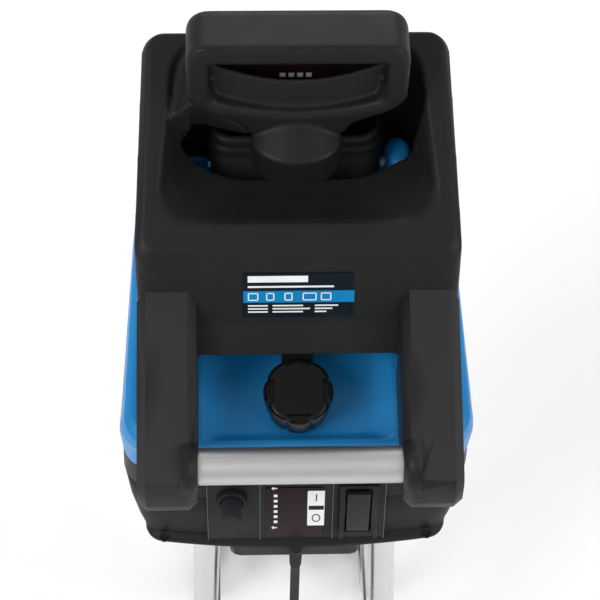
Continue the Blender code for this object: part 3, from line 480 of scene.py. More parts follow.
def settle(obj, helpers=()):
    """Turns an object's modifiers into its own mesh, and removes the helpers that they used."""
    graph = bpy.context.evaluated_depsgraph_get()
    mesh = bpy.data.meshes.new_from_object(obj.evaluated_get(graph))
    obj.modifiers.clear()
    obj.data = mesh
    for helper in helpers:
        bpy.data.objects.remove(helper, do_unlink=True)
    return obj


def soften(obj, voxel, rounds, parts=()):
    """Melts overlapping closed shells into one skin whose edges are rounded like a moulding's."""
    if parts:
        bm = bmesh.new()
        for piece in (obj, *parts):
            bm.from_mesh(piece.data)
        bm.to_mesh(obj.data)
        bm.free()
        for piece in parts:
            bpy.data.objects.remove(piece, do_unlink=True)
    remesh = obj.modifiers.new("remesh", "REMESH")
    remesh.mode = "VOXEL"
    remesh.voxel_size = voxel * MM
    remesh.use_smooth_shade = True
    relax = obj.modifiers.new("relax", "SMOOTH")
    relax.factor = 0.5
    relax.iterations = rounds
    settle(obj)
    obj.data.shade_smooth()
    return obj


def stand_in(obj, body, slot, *nodes):
    """Puts a finished piece on its body, in place of the CAD nodes that it stands for."""
    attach(obj, body)
    if nodes:
        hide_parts(*nodes)
    return obj


def sides():
    return ((-1, "left"), (1, "right"))


# ---------------------------------------------------------------- cord


def cord_route():
    start = CORD_TOP_Z - GAP
    end = PLUG_TOP_Z + GAP
    route = []
    for k in range(25):
        share = k / 24
        sway = -7.0 * math.sin(math.pi * share) ** 2
        route.append(place(0.0, CORD_Y + sway, start + (end - start) * share))
    return route


def make_cord():
    route = cord_route()
    curve = bpy.data.curves.new("mains_lead", "CURVE")
    curve.dimensions = "3D"
    curve.bevel_depth = CORD_RADIUS * MM
    curve.bevel_resolution = 6
    curve.use_fill_caps = True
    spline = curve.splines.new("POLY")
    spline.points.add(len(route) - 1)
    for point, spot in zip(spline.points, route):
        point.co = (*spot, 1.0)
    spline.use_smooth = True
    curve.materials.append(MATTER["cord"])
    lead = bpy.data.objects.new("mains_lead", curve)
    bpy.context.scene.collection.objects.link(lead)
    stand_in(lead, "housing", "cord_rubber", "cord_tube")
    plug = make_plug()


def make_plug():
    """A moulded inlet plug: a ribbed neck that widens into a round grip with flat flutes."""
    steps = 60
    rows = (
        (0.2, 6.3), (3.0, 6.5), (4.0, 5.7), (6.0, 5.7), (7.0, 6.9), (9.5, 6.9), (10.5, 6.0), (12.5, 6.0),
        (13.5, 7.6), (16.0, 8.2), (21.0, 11.5), (26.0, 15.8), (31.0, 17.8), (36.0, 18.9), (44.0, 18.9),
        (52.0, 18.9), (58.0, 18.9), (61.0, 18.6), (61.8, 17.6),
    )
    rings = []
    for drop, radius in rows:
        flute = 1.1 if 26.0 < drop < 59.0 else 0.0
        ring = []
        for k in range(steps):
            turn = math.tau * k / steps
            reach = radius - flute * max(0.0, math.cos(12 * turn)) ** 2
            ring.append((reach * math.cos(turn), CORD_Y + reach * math.sin(turn), PLUG_TOP_Z - drop))
        rings.append(ring)
    plug = loft("lead_plug", rings, "rubber")
    return stand_in(plug, "housing", "rubber", "plug_body")


def make_gland():
    """The tapered strain relief, with its rings of slots."""
    profile = [(0.0, -0.6), (6.4, -0.6), (6.4, -6.0)]
    for k in range(6):
        z = -7.5 - 4.4 * k
        radius = 6.3 - 0.13 * k
        profile += [(radius, z), (radius, z - 2.6), (radius - 1.1, z - 3.1), (radius - 1.1, z - 3.9)]
    profile += [(5.3, -33.9), (0.0, -33.9)]
    gland = turned("lead_gland", profile, "rubber", (0.0, CORD_Y, 0.0), steps=40)
    return stand_in(gland, "housing", "rubber", "cord_gland")


# ---------------------------------------------------------------- hopper


def hopper_skin():
    """The funnel: skirt, rear face, slanted rim and bowl, with soft moulded edges."""
    outer = [
        ((-33.0, 174.0), (137.0, 129.0), (top_z(-33.0) + 2.5, top_z(174.0) + 2.5), (12.0, 26.0)),
        ((-34.0, 176.0), (137.5, 129.5), (225.0, 262.0), (12.0, 26.0)),
        ((-16.0, 177.0), (137.8, 130.0), (248.0, 290.0), (12.0, 24.0)),
        ((3.0, 178.0), (138.0, 131.0), (301.0, 388.0), (12.0, 18.0)),
        ((6.0, 178.0), (138.0, 131.5), (310.0, 400.0), (12.0, 16.0)),
        ((11.0, 173.5), (131.5, 125.5), (318.0, 408.0), (10.0, 14.0)),
        ((29.0, 167.0), (119.0, 107.0), (328.0, 404.0), (24.0, 26.0)),
        ((34.0, 164.0), (114.5, 104.5), (327.5, 394.0), (26.0, 27.0)),
        ((50.0, 158.0), (106.0, 100.0), (322.5, 368.0), (34.0, 28.0)),
        ((70.0, 154.0), (101.5, 96.5), (318.0, 350.0), ((50.0, 32.0), 27.0)),
        ((89.0, 152.0), (100.0, 95.0), (315.0, 338.0), ((66.0, 36.0), 26.0)),
    ]
    inner = [
        ((89.5, 151.5), (99.5, 94.5), (309.5, 332.0), ((65.0, 35.0), 26.0)),
        ((40.0, 163.0), (110.0, 104.0), (317.5, 371.0), (28.0, 30.0)),
        ((26.0, 169.5), (121.5, 109.5), (322.0, 397.0), (20.0, 26.0)),
        ((13.0, 171.0), (131.0, 124.0), (313.0, 396.0), (9.0, 12.0)),
        ((7.0, 174.0), (134.0, 127.0), (301.0, 386.0), (9.0, 14.0)),
        ((-12.0, 173.2), (134.0, 126.2), (247.0, 289.0), (9.0, 20.0)),
        ((-30.0, 172.3), (133.7, 125.7), (226.0, 262.0), (9.0, 22.0)),
        ((-29.0, 170.3), (133.3, 125.3), (top_z(-29.0) + 2.5, top_z(170.0) + 2.5), (9.0, 22.0)),
    ]
    rings = [plan_ring(*section) for section in outer + inner]
    shell = loft("hopper_skin", rings, closed=True)
    window = bevel(box("cut_window", (-87.0, -60.0, 100.0), (87.0, 20.0, 224.5)), 6.0, 6)
    lugs = []
    for side, _ in sides():
        low = (side * 70.0 - 10.0, 164.0, HINGE_Z - 26.0)
        lugs.append(box("cut_lug", low, (side * 70.0 + 10.0, HINGE_Y + 12.0, HINGE_Z + 9.0)))
    bite = loft("cut_bite", [[(x, y, z) for x, y in oval(84.0, 128.0, 24.5, 25.0)] for z in (300.0, 382.0)])
    combine(shell, [window, bite, *lugs], "DIFFERENCE")
    parts = [hinge_knuckle(side) for side, _ in sides()] + [bowl_land(), bowl_shelf()]
    soften(shell, 1.9, 7, parts)
    stand_in(shell, "hopper", "black_plastic", "hopper_shell")


def oval(x, y, reach_x, reach_y, steps=48):
    turns = [math.tau * k / steps for k in range(steps)]
    return [(x + reach_x * math.cos(turn), y + reach_y * math.sin(turn)) for turn in turns]


def hinge_knuckle(side):
    outline = (
        (HINGE_Y - 4, HINGE_Z - 7),
        (HINGE_Y + 7, HINGE_Z - 7),
        (HINGE_Y + 7, HINGE_Z + 23),
        (172.0, HINGE_Z + 23),
        (172.0, HINGE_Z + 12),
        (HINGE_Y - 4, HINGE_Z + 9),
    )
    return prism("knuckle", outline, (side * 90.0 - 9, side * 90.0 + 9))


def bowl_land():
    """The piece of bowl wall on the left that runs under the feed head, down to the hole's edge."""
    rings = []
    for x, high, y, low in (
        (-120.0, 352.0, 122.0, 330.0),
        (-112.0, 360.0, 121.0, 336.0),
        (-103.0, 368.0, 121.5, 338.0),
        (-96.0, 380.0, 121.5, 344.0),
        (-89.0, 387.0, 120.5, 349.0),
        (-81.0, 380.0, 119.0, 352.0),
        (-66.0, 372.0, 116.0, 350.0),
        (-52.0, 363.0, 113.5, 348.0),
        (-40.0, 352.0, 112.0, 346.0),
    ):
        below = [(x, y, low), (x, y + 4.0, low - 2.0), (x, y + 6.0, low + 3.0)]
        rings.append([(x, 112.0, high), *below, (x, 118.0, high)])
    return loft("land", rings)


def bowl_shelf():
    """Joins the bowl's left wall to the feed head's side, above the land."""
    rear = ((-118.0, 366.0), (-104.0, 371.0), (-90.0, 385.0), (-90.0, 350.0), (-108.0, 340.0))
    front = ((-118.0, 396.0), (-104.0, 393.0), (-90.0, 400.0), (-90.0, 360.0), (-112.0, 352.0))
    return loft("shelf", [[(x, 113.0, z) for x, z in rear], [(x, 164.0, z) for x, z in front]])


def face_ring(y, half, low, high, top_radius, low_radius, steps=10):
    """A rounded outline seen from the operator's side, at one distance along Y."""
    ring = []
    for sx, sz, start in ((1, -1, -90.0), (1, 1, 0.0), (-1, 1, 90.0), (-1, -1, 180.0)):
        radius = top_radius if sz > 0 else low_radius
        cx = sx * (half - radius)
        cz = (high - radius) if sz > 0 else (low + radius)
        for k in range(steps + 1):
            turn = math.radians(start + 90.0 * k / steps)
            ring.append((cx + radius * math.cos(turn), y, cz + radius * math.sin(turn)))
    return ring


def sweep_point(t):
    """A point (x, z) of the curve by which the hood's side runs in to the nose, for t from 0 to 1."""
    near, far = (1 - t) ** 3, t**3
    early, late = 3 * t * (1 - t) ** 2, 3 * t * t * (1 - t)
    x = 42.0 * near + 44.0 * early + 80.0 * late + 92.0 * far
    return x, 350.0 * near + 372.0 * early + 366.0 * late + 393.0 * far


def sweep_z(x):
    """The height of that curve over a distance x from the middle."""
    points = [sweep_point(k / 40) for k in range(41)]
    return max([z for px, z in points if px <= abs(x)], default=350.0)


def head_outline(y, grow=0.0, top=HOOD_TOP_Z):
    """The hood's outline at one Y: round top corners, and sides that sweep in to the nose."""
    half = 92.0 + grow
    sweep = [sweep_point(k / 16) for k in range(17)]
    corner = []
    for k in range(9):
        turn = math.radians(90.0 * k / 8)
        corner.append((half - 18.0 + 18.0 * math.cos(turn), top + grow - 18.0 + 18.0 * math.sin(turn)))
    side = [(x + grow, z - grow) for x, z in sweep] + corner
    return [(x, y, z) for x, z in side] + [(-x, y, z) for x, z in reversed(side)]


def mouth_ring(y, half, low, rise, top):
    """The mouth's outline: a smiling lower edge, upright sides and a straight top."""
    ring = []
    for k in range(33):
        x = half * (k / 16 - 1)
        corner = max(0.0, (abs(x) - half + 9.0) / 9.0)
        ring.append((x, y, low + rise * (x / half) ** 2 + 9.0 * corner**3))
    for side, start in ((1, 0.0), (-1, 90.0)):
        for k in range(5):
            turn = math.radians(start + 22.5 * k)
            ring.append((side * (half - 4.0) + 4.0 * math.cos(turn), y, top - 4.0 + 4.0 * math.sin(turn)))
    return ring


def head_skin():
    """The feed head: a rounded hood with a letter-box mouth, whose face sweeps down into the nose."""
    front = HOOD_FRONT_Y
    rings = [
        head_outline(HOOD_REAR_Y, -3.0),
        head_outline(HOOD_REAR_Y + 0.8, -1.2),
        head_outline(HOOD_REAR_Y + 2.6, -0.2),
        head_outline(HOOD_REAR_Y + 5.0),
        head_outline(front - 8.0),
        head_outline(front - 2.5, -1.0),
        head_outline(front, -4.0),
    ]
    head = loft("head_skin", rings)
    ceiling = HOOD_TOP_Z - 4.5
    room = loft("cut_room", [face_ring(y, 86.5, 405.0, ceiling, 15.0, 2.0) for y in (112.8, front - WALL)])
    drop = loft("cut_drop", [face_ring(y, 86.5, 290.0, ceiling, 15.0, 2.0) for y in (131.0, front - WALL)])
    mouth = loft(
        "cut_mouth",
        [
            mouth_ring(100.0, 77.0, 370.5, 12.5, 438.5),
            mouth_ring(HOOD_REAR_Y, 76.5, 371.0, 12.5, 437.5),
            mouth_ring(HOOD_REAR_Y + 1.5, 74.0, 372.5, 12.5, 435.8),
            mouth_ring(HOOD_REAR_Y + 4.0, 71.8, 373.5, 12.5, 434.6),
            mouth_ring(HOOD_REAR_Y + 9.0, 70.6, 374.0, 12.5, 434.5),
            mouth_ring(134.0, 70.4, 374.0, 12.5, 434.5),
        ],
    )
    combine(head, [room, drop, mouth], "DIFFERENCE")
    soften(head, 1.5, 4, [mouth_wall(), nose_body()])
    stand_in(head, "hopper", "black_plastic", "feed_hood")


def mouth_wall():
    """The curved wall behind the mouth, and the rolled lip at its foot that runs out to the hood's face."""
    rings = []
    for k in range(33):
        x = 80.0 * (k / 16 - 1)
        share = (x / 70.0) ** 2
        low = sweep_z(x) + 1.5
        lip = 373.4 + 13.0 * share
        foot_y = 117.5 + 5.0 * share
        foot_z = 376.6 + 13.0 * share
        top_y = foot_y + 3.2
        top_z = 404.0 + 14.5 * share
        section = (
            (110.4, low),
            (109.6, lip - 0.8),
            (110.6, lip + 1.4),
            (113.2, lip + 2.8),
            (foot_y - 0.6, foot_z),
            (foot_y + 0.4, foot_z + 1.0),
            (top_y, top_z - 0.8),
            (top_y + 1.2, top_z),
            (top_y + 3.6, top_z),
            (top_y + 3.6, low),
        )
        nearest = 113.0 if abs(x) > 71.0 else 109.0
        rings.append([(x, max(y, nearest), z) for y, z in section])
    return loft("wall", rings)


def nose_body():
    """A half-round beak, whose top climbs from its rim to an arch on the hood's face."""
    half = 38.7
    rings = []
    for k in range(33):
        x = -half * math.cos(math.pi * k / 32)
        tip = 109.0 - 27.6 * math.sqrt(max(0.0, 1.0 - (x / half) ** 2)) - 0.4
        arch = 346.0 + 18.6 * (1.0 - (x / half) ** 2)
        front = ((tip + 1.2, 312.5), (tip, 314.0), (tip, 343.6), (tip + 0.9, 345.2))
        section = (*front, (113.0, arch + 1.5), (113.0, 312.5))
        rings.append([(x, y, z) for y, z in section])
    return loft("nose", rings)


def throat_skin():
    """The inner chute below the feed head, with a rounded bead round its mouth."""
    low = 165.0 + 175.0 * TOP_SLOPE + 3.0
    corner = (22.0, 18.0)
    foot = (165.0 + 145.0 * TOP_SLOPE + 3.0, 165.0 + 207.0 * TOP_SLOPE + 3.0)
    sections = [
        ((58.0, 120.0), (50.0, 50.0), foot, (corner, 14.0)),
        ((100.0, 160.0), (74.0, 74.0), (low + 62.0, low + 70.0), (corner, 14.0)),
        ((121.5, 164.5), (77.0, 76.5), (305.0, 307.0), (corner, 14.0)),
        ((123.5, 165.0), (77.6, 77.0), (310.5, 312.0), (corner, 14.0)),
        ((126.2, 164.0), (75.2, 75.0), (313.0, 314.5), (corner, 14.0)),
        ((126.0, 165.0), (76.0, 76.0), (315.5, 317.0), (corner, 14.0)),
        ((128.0, 166.0), (75.5, 76.0), (319.5, 321.0), (corner, 14.0)),
        ((131.0, 164.0), (73.0, 73.0), (321.5, 323.0), (corner, 13.0)),
    ]
    throat = loft("throat_skin", shell_rings(sections, 3.0), closed=True)
    soften(throat, 1.6, 4)
    stand_in(throat, "hopper", "black_plastic", "feed_throat")


def arm_skin(side, word):
    """An arm of the grip: a broad bar with wide chamfers, and a round boss where the grip enters it."""
    outline = (
        (4.0, 283.5),
        (-80.0, 244.5),
        (-150.0, 211.5),
        (-157.0, 203.0),
        (-160.0, 178.0),
        (-151.0, 166.0),
        (-96.0, 166.0),
        (-24.6, 184.0),
        (-24.6, 225.2),
        (-6.6, 248.2),
    )
    inner, outer = ARM_SPAN
    arm = prism(f"arm_skin_{word}", outline, (side * inner, side * outer))
    bevel(arm, 7.5, 1, 30.0)
    settle(arm)
    centre = (side * inner, GRIP_Y, GRIP_Z)
    flare = ((0.0, -0.8), (21.0, -0.8), (23.0, 0.8), (25.5, 4.0), (27.0, 7.5), (27.0, 14.0), (0.0, 14.0))
    boss = turned("boss", [(r, side * h) for r, h in flare], "black", centre, "X", 64)
    combine(arm, [boss], "UNION")
    socket = ((0.0, -12.0), (GRIP_RADIUS + 0.35, -12.0), (GRIP_RADIUS + 0.35, 13.7), (0.0, 13.7))
    bore = turned("cut_bore", [(r, side * h) for r, h in socket], "black", centre, "X", 64)
    combine(arm, [bore], "DIFFERENCE")
    bevel(arm, 1.3, 3, 25.0)
    arm.data.shade_smooth()
    stand_in(arm, "hopper", "black_plastic", f"arm_{word}")


# ---------------------------------------------------------------- housing


def rear_wall_y(z):
    return REAR_FOOT_Y + (z - REAR_FOOT_Z) * math.tan(REAR_LEAN)


def top_z(y):
    return 165.0 + (y + 87.0) * TOP_SLOPE


def recess_floor_z(y):
    return top_z(y) - RECESS_DEPTH


def cover_skin():
    """The blue cover, with its drafted recess for the clamping knob."""
    sections = [
        ((rear_wall_y(BLUE_Z), 176.0), (158.5, 151.0), (BLUE_Z + 0.3, BLUE_Z + 0.3), (30.0, 60.0)),
        ((-80.0, 178.0), (159.5, 152.0), (135.0, 135.0), (30.0, 62.0)),
        ((-85.0, 177.0), (157.5, 150.0), (146.0, 192.0), (30.0, 62.0)),
        ((-87.0, 172.0), (153.5, 146.0), (top_z(-87.0) - 5, top_z(172.0) - 5), (30.0, 58.0)),
        ((-81.0, 166.0), (147.0, 139.0), (top_z(-81.0), top_z(166.0)), (26.0, 52.0)),
    ]
    rings = [plan_ring(*section) for section in sections]
    for drop in (0.0, 14.0):
        heights = (top_z(62.0) - drop, top_z(116.0) - drop)
        rings.append(plan_ring((62.0, 116.0), (46.0, 46.0), heights, (12.0, 12.0)))
    below = (top_z(-74.0) - 14.0, top_z(160.0) - 20.0)
    rings.append(plan_ring((-74.0, 160.0), (136.0, 128.0), below, (24.0, 50.0)))
    for (rear, front), widths, heights, radii in (sections[1], sections[0]):
        inside = [width - WALL for width in widths]
        rings.append(plan_ring((rear + WALL, front - WALL), inside, heights, [r - WALL for r in radii]))
    cover = loft("cover_skin", rings, "blue", closed=True)
    steps = ((-75.0, 67.0, 0.0, 0.0), (-84.0, 82.5, 7.5, 9.0), (-92.0, 84.5, 19.0, 22.0))
    walls = []
    for rear, half, rear_rise, front_rise in steps:
        heights = (recess_floor_z(rear) + rear_rise, recess_floor_z(20.0) + front_rise)
        walls.append(plan_ring((rear, 20.0), (half, half), heights, (6.0, 6.0)))
    recess = loft("cut_recess", walls)
    bore = turned("cut_bore", rod(7.5, -30.0, 30.0), "blue", knob_point(-6.0), tilt=KNOB_TILT, steps=32)
    combine(cover, [recess, bore], "DIFFERENCE")
    additions = []
    for side, _ in sides():
        x = side * 70.0
        low, high = sorted((side * 78.0, side * 122.0))
        foot, head = (x - 9, 166.0, HINGE_Z - 24), (x + 9, HINGE_Y + 8, HINGE_Z + 6)
        additions.append(box("lug", foot, head, "blue"))
        additions.append(box("rib", (low, 156.0, 222.0), (high, 160.5, 262.0), "blue"))
    dome_rings = [[(x, y, z) for x, y in oval(93.0, 147.0, rx, ry)] for z, rx, ry in DOME]
    dome = loft("dome", dome_rings, "blue")
    soften(cover, 2.0, 4, [*additions, dome])
    stand_in(cover, "housing", "blue_plastic", "upper_housing")


def bowed_rings(sections):
    """Shell rings whose rear wall bows towards the operator at the lip, and is flat at the seam."""
    rings = []
    for ring in shell_rings(sections, WALL):
        (ax, ay, az), (bx, by, bz) = ring[-1], ring[0]
        inner = []
        for k in range(1, 16):
            inner.append((ax + (bx - ax) * k / 16, ay + (by - ay) * k / 16, az + (bz - az) * k / 16))
        half = max(x for x, y, z in ring)
        bow = 11.0 * max(0.0, 1.0 - az / 50.0)
        bowed = []
        for x, y, z in ring + inner:
            near = max(0.0, min(1.0, (40.0 - y) / 120.0))
            bowed.append((x, y + bow * near * max(0.0, abs(x) / half) ** 2, z))
        rings.append(bowed)
    return rings


def base_skins():
    top = SEAM_Z - GAP
    lip = (15.0, 15.0)
    sections = [
        ((-104.4, 157.0), (141.0, 127.0), (0.0, 0.0), (lip, 50.0)),
        ((-105.0, 158.0), (141.6, 128.0), (0.8, 0.8), (lip, 50.0)),
        ((-104.6, 158.5), (142.0, 128.5), (3.0, 3.0), (lip, 50.0)),
        ((-103.2, 158.6), (142.0, 128.6), (5.0, 5.0), (lip, 50.0)),
        ((-100.8, 158.8), (142.2, 128.8), (6.6, 6.6), (lip, 50.0)),
        ((REAR_FOOT_Y - 0.9, 159.0), (142.9, 129.0), (7.5, 7.5), (lip, 50.0)),
        ((REAR_FOOT_Y + 0.4, 159.4), (143.2, 129.4), (8.6, 8.6), (lip, 50.0)),
        ((rear_wall_y(20.0), 165.0), (148.5, 134.0), (20.0, 20.0), ((25.0, 21.0), 52.0)),
        ((rear_wall_y(40.0), 172.0), (155.0, 141.0), (40.0, 40.0), ((42.0, 31.0), 56.0)),
        ((rear_wall_y(top - 1.5), 175.8), (159.8, 146.8), (top - 1.5, top - 1.5), ((60.0, 42.0), 60.0)),
        ((rear_wall_y(top) + 1.0, 175.0), (159.0, 146.0), (top, top), ((60.0, 42.0), 60.0)),
    ]
    shell = loft("base_skin", bowed_rings(sections), closed=True)
    mouth = box("cut_mouth", (-56.0, 120.0, 5.0), (56.0, 200.0, 48.0))
    bevel(mouth, 3.0)
    combine(shell, [mouth], "DIFFERENCE")
    shell.data.shade_smooth()
    shell.data.set_sharp_from_angle(angle=math.radians(38.0))
    stand_in(shell, "housing", "black_plastic", "base_shell")
    above = SEAM_Z + 1.5
    top = BLUE_Z - GAP
    ring_sections = [
        ((rear_wall_y(SEAM_Z) + 1.0, 175.5), (159.5, 146.5), (SEAM_Z, SEAM_Z), ((60.0, 42.0), 60.0)),
        ((rear_wall_y(above), 176.5), (160.4, 147.6), (above, above), ((60.0, 42.0), 60.0)),
        ((rear_wall_y(top - 1.5), 176.5), (158.5, 151.0), (top - 1.5, top - 1.5), ((46.0, 30.0), 60.0)),
        ((rear_wall_y(top) + 1.0, 175.5), (157.5, 150.0), (top, top), ((46.0, 30.0), 60.0)),
    ]
    ring = loft("ring_skin", bowed_rings(ring_sections), closed=True)
    stand_in(ring, "housing", "black_plastic", "base_ring")


def knob_point(height):
    floor = recess_floor_z(KNOB_Y)
    return (0.0, KNOB_Y - height * math.sin(KNOB_TILT), floor + height * math.cos(KNOB_TILT))


def knob_edge(turn, reach):
    """The knob's outline: eight broad flutes, parted by narrow notches."""
    offset = (turn * KNOB_FLUTES / math.tau) % 1.0 - 0.5
    notch = 1.5 * math.exp(-((offset / 0.08) ** 2))
    return reach - notch - 0.25 * math.cos(math.tau * offset)


def knob_skin():
    """The clamping knob: a fluted skirt, and a flat cap with four finger scallops in its rim."""
    steps = 288
    scallop = math.radians(24.0)
    skirt = (
        (-16.0, 5.0, False), (7.0, 5.0, False), (7.2, 22.0, False), (8.0, 26.6, True), (9.2, 28.0, True),
        (38.0, 30.4, True), (41.6, 30.0, True), (43.6, 29.0, True), (44.8, 27.8, True),
    )
    cap = ((27.2, 45.3), (26.4, 45.6), (25.6, 45.7), (24.8, 45.7), (24.0, 45.7), (23.2, 45.7), (22.4, 45.7),
           (21.6, 45.7), (20.8, 45.7), (18.0, 45.8), (12.0, 45.9), (5.0, 46.0))

    def sunk(reach, turn):
        """How deep the four scallops are at a point of the cap."""
        quarter = abs((turn + math.pi / 4) % (math.pi / 2) - math.pi / 4)
        inner = 22.0 + 2.0 * (quarter / scallop) ** 4
        outer = 26.0 if quarter < 0.8 * scallop else 25.2
        return 2.4 if quarter < scallop and inner < reach < outer else 0.0

    bm = bmesh.new()
    rows = []
    turns = [math.tau * k / steps for k in range(steps)]
    for height, reach, fluted in skirt:
        reaches = [knob_edge(turn, reach) if fluted else reach for turn in turns]
        ring = [(r * math.cos(t), r * math.sin(t), height) for r, t in zip(reaches, turns)]
        rows.append([bm.verts.new(point) for point in ring])
    for reach, height in cap:
        reaches = [min(reach, knob_edge(t, 27.6)) if reach > 25.0 else reach for t in turns]
        ring = [(r * math.cos(t), r * math.sin(t), height - sunk(reach, t)) for r, t in zip(reaches, turns)]
        rows.append([bm.verts.new(point) for point in ring])
    bm.faces.new(list(reversed(rows[0])))
    bm.faces.new(rows[-1])
    for low, high in zip(rows, rows[1:]):
        for i in range(steps):
            j = (i + 1) % steps
            bm.faces.new((low[i], low[j], high[j], high[i]))
    bm.transform(Matrix.Rotation(KNOB_TILT, 4, "X"))
    bm.transform(Matrix.Translation(Vector(knob_point(0.0))))
    knob = new_object("knob_skin", bm, "knob", 40.0)
    stand_in(knob, "knob", "knob_plastic", "clamp_knob")


# ---------------------------------------------------------------- console and prints


def panel_point(x, up, out):
    """A point of the console: up its sloping face from the foot, and out from that face."""
    return (
        x,
        REAR_FOOT_Y + up * math.sin(REAR_LEAN) - out * math.cos(REAR_LEAN),
        REAR_FOOT_Z + up * math.cos(REAR_LEAN) + out * math.sin(REAR_LEAN),
    )


def face_point(x, up, out):
    """The same on the hopper's sloping rear face, which carries the rating label."""
    foot, head = Vector((-16.0, 248.0)), Vector((3.0, 301.0))
    way = (head - foot).normalized()
    spot = foot + way * up + Vector((-way.y, way.x)) * out
    return (x, spot.x, spot.y)


def plates(name, rects, point, out, thick, finish):
    """Thin raised prints, each a (x0, x1, up0, up1) rectangle, as one piece."""
    bm = bmesh.new()
    for x0, x1, up0, up1 in rects:
        rows = []
        for level in (out, out + thick):
            corners = ((x0, up0), (x1, up0), (x1, up1), (x0, up1))
            rows.append([bm.verts.new(point(x, up, level)) for x, up in corners])
        bm.faces.new(list(reversed(rows[0])))
        bm.faces.new(rows[1])
        for i in range(4):
            j = (i + 1) % 4
            bm.faces.new((rows[0][i], rows[0][j], rows[1][j], rows[1][i]))
    return new_object(name, bm, finish)


def arrow(x, up, size):
    """An arrow that points to the left, as a stack of narrow upright bars."""
    rects = [(x, x + 1.4 * size, up - 0.32 * size, up + 0.32 * size)]
    for k in range(6):
        reach = size * (0.15 + 0.17 * k)
        rects.append((x - size + size * k / 6, x - size + size * (k + 1) / 6, up - reach, up + reach))
    return rects


def console_prints():
    level = 3.75
    marks = arrow(-21.0, 18.5, 2.2) + arrow(-21.0, 73.0, 2.2)
    for k in range(6):
        up = 25.0 + 7.2 * k
        marks.append((-21.0, -17.6, up, up + 3.6))
    piece = plates("console_marks", marks, panel_point, level, PRINT_THICK, "white")
    stand_in(piece, "housing", "control_label")
    fields = [(10.6, 26.0, 21.0, 69.0), (10.2, 10.6, 22.2, 67.8)]
    piece = plates("console_fields", fields, panel_point, level, PRINT_THICK, "white")
    stand_in(piece, "housing", "control_label")
    ink = [(17.8, 18.9, 55.0, 64.5), (11.4, 25.4, 43.0, 48.6)]
    for k in range(28):
        turn = math.tau * k / 28
        x, up = 18.4 + 3.5 * math.cos(turn), 31.5 + 4.9 * math.sin(turn)
        ink.append((x - 0.5, x + 0.5, up - 0.6, up + 0.6))
    piece = plates("console_symbols", ink, panel_point, level + 0.14, 0.1, "ink")
    stand_in(piece, "housing", "control_label")
    # The seam strips stand a little proud. Their pale colour is a painted highlight along the rib edges.
    seam_highlights = [(x - 0.4, x + 0.4, 1.2, 79.0) for x in (-82.4, -33.8, 33.8, 82.4)]
    piece = plates("console_seam_highlights", seam_highlights, panel_point, 2.9, 0.35, "seam")
    stand_in(piece, "housing", "black_plastic")
    rails = [(40.4, 43.6, 4.0, 72.0), (72.6, 75.8, 4.0, 72.0)]
    piece = plates("switch_rails", rails, panel_point, 3.0, 3.4, "switch")
    bevel(piece, 0.5, 2)
    stand_in(piece, "housing", "black_plastic")


def lip_screw(side, word):
    """A countersunk screw in the lower lip's corner."""
    profile = ((0.0, -0.2), (2.1, -0.2), (3.4, 0.5), (4.3, 0.5), (4.3, -1.6), (0.0, -1.6))
    centre = (side * 124.0, -95.4, 7.0)
    screw = turned(f"lip_screw_{word}", profile, "ink", centre, steps=32)
    stand_in(screw, "housing", "black_plastic")


def label_prints():
    """A generic rating plate: plain bars and boxes in place of words and marks."""
    level = 1.15
    band = [(-46.8, 47.6, 22.5, 34.5)]
    piece = plates("label_band", band, face_point, level, 0.1, "label_blue")
    stand_in(piece, "hopper", "rating_label")
    white = [(-43.0, 8.0, 43.5, 50.0), (-43.0, 30.0, 38.0, 39.8)]
    for k, width in enumerate((9.0, 7.0, 7.0, 12.0, 9.0)):
        x = -43.0 + 15.5 * k
        white += [(x, x + width, 31.6, 32.6), (x, x + width, 24.6, 25.6), (x, x + 1.0, 24.6, 32.6)]
        white += [(x + width - 1.0, x + width, 24.6, 32.6)]
    for k in range(3):
        up = 18.6 - 3.2 * k
        white += [(-43.0, -26.0, up, up + 1.4), (-22.0, 4.0 + 6.0 * (k % 2), up, up + 1.4)]
        white.append((14.0, 34.0 - 5.0 * k, up, up + 1.4))
    piece = plates("label_marks", white, face_point, level + PRINT_THICK, 0.1, "white")
    stand_in(piece, "hopper", "rating_label")


def mouth_strip():
    """The dark strip on the hood's inner wall, with plain bars on it."""

    def point(x, up, out):
        return (x, HOOD_FRONT_Y - WALL - 0.6 - out, up)

    strip = plates("mouth_strip", [(-36.0, 34.0, 352.0, 396.0)], point, 0.0, 0.5, "brown")
    stand_in(strip, "hopper", "control_label")
    bars = [(-14.0 + 7.5 * k, -9.0 + 7.5 * k, 376.0, 381.0) for k in range(4)]
    marks = plates("mouth_marks", bars, point, 0.55, PRINT_THICK, "white")
    stand_in(marks, "hopper", "control_label")


# ---------------------------------------------------------------- stand


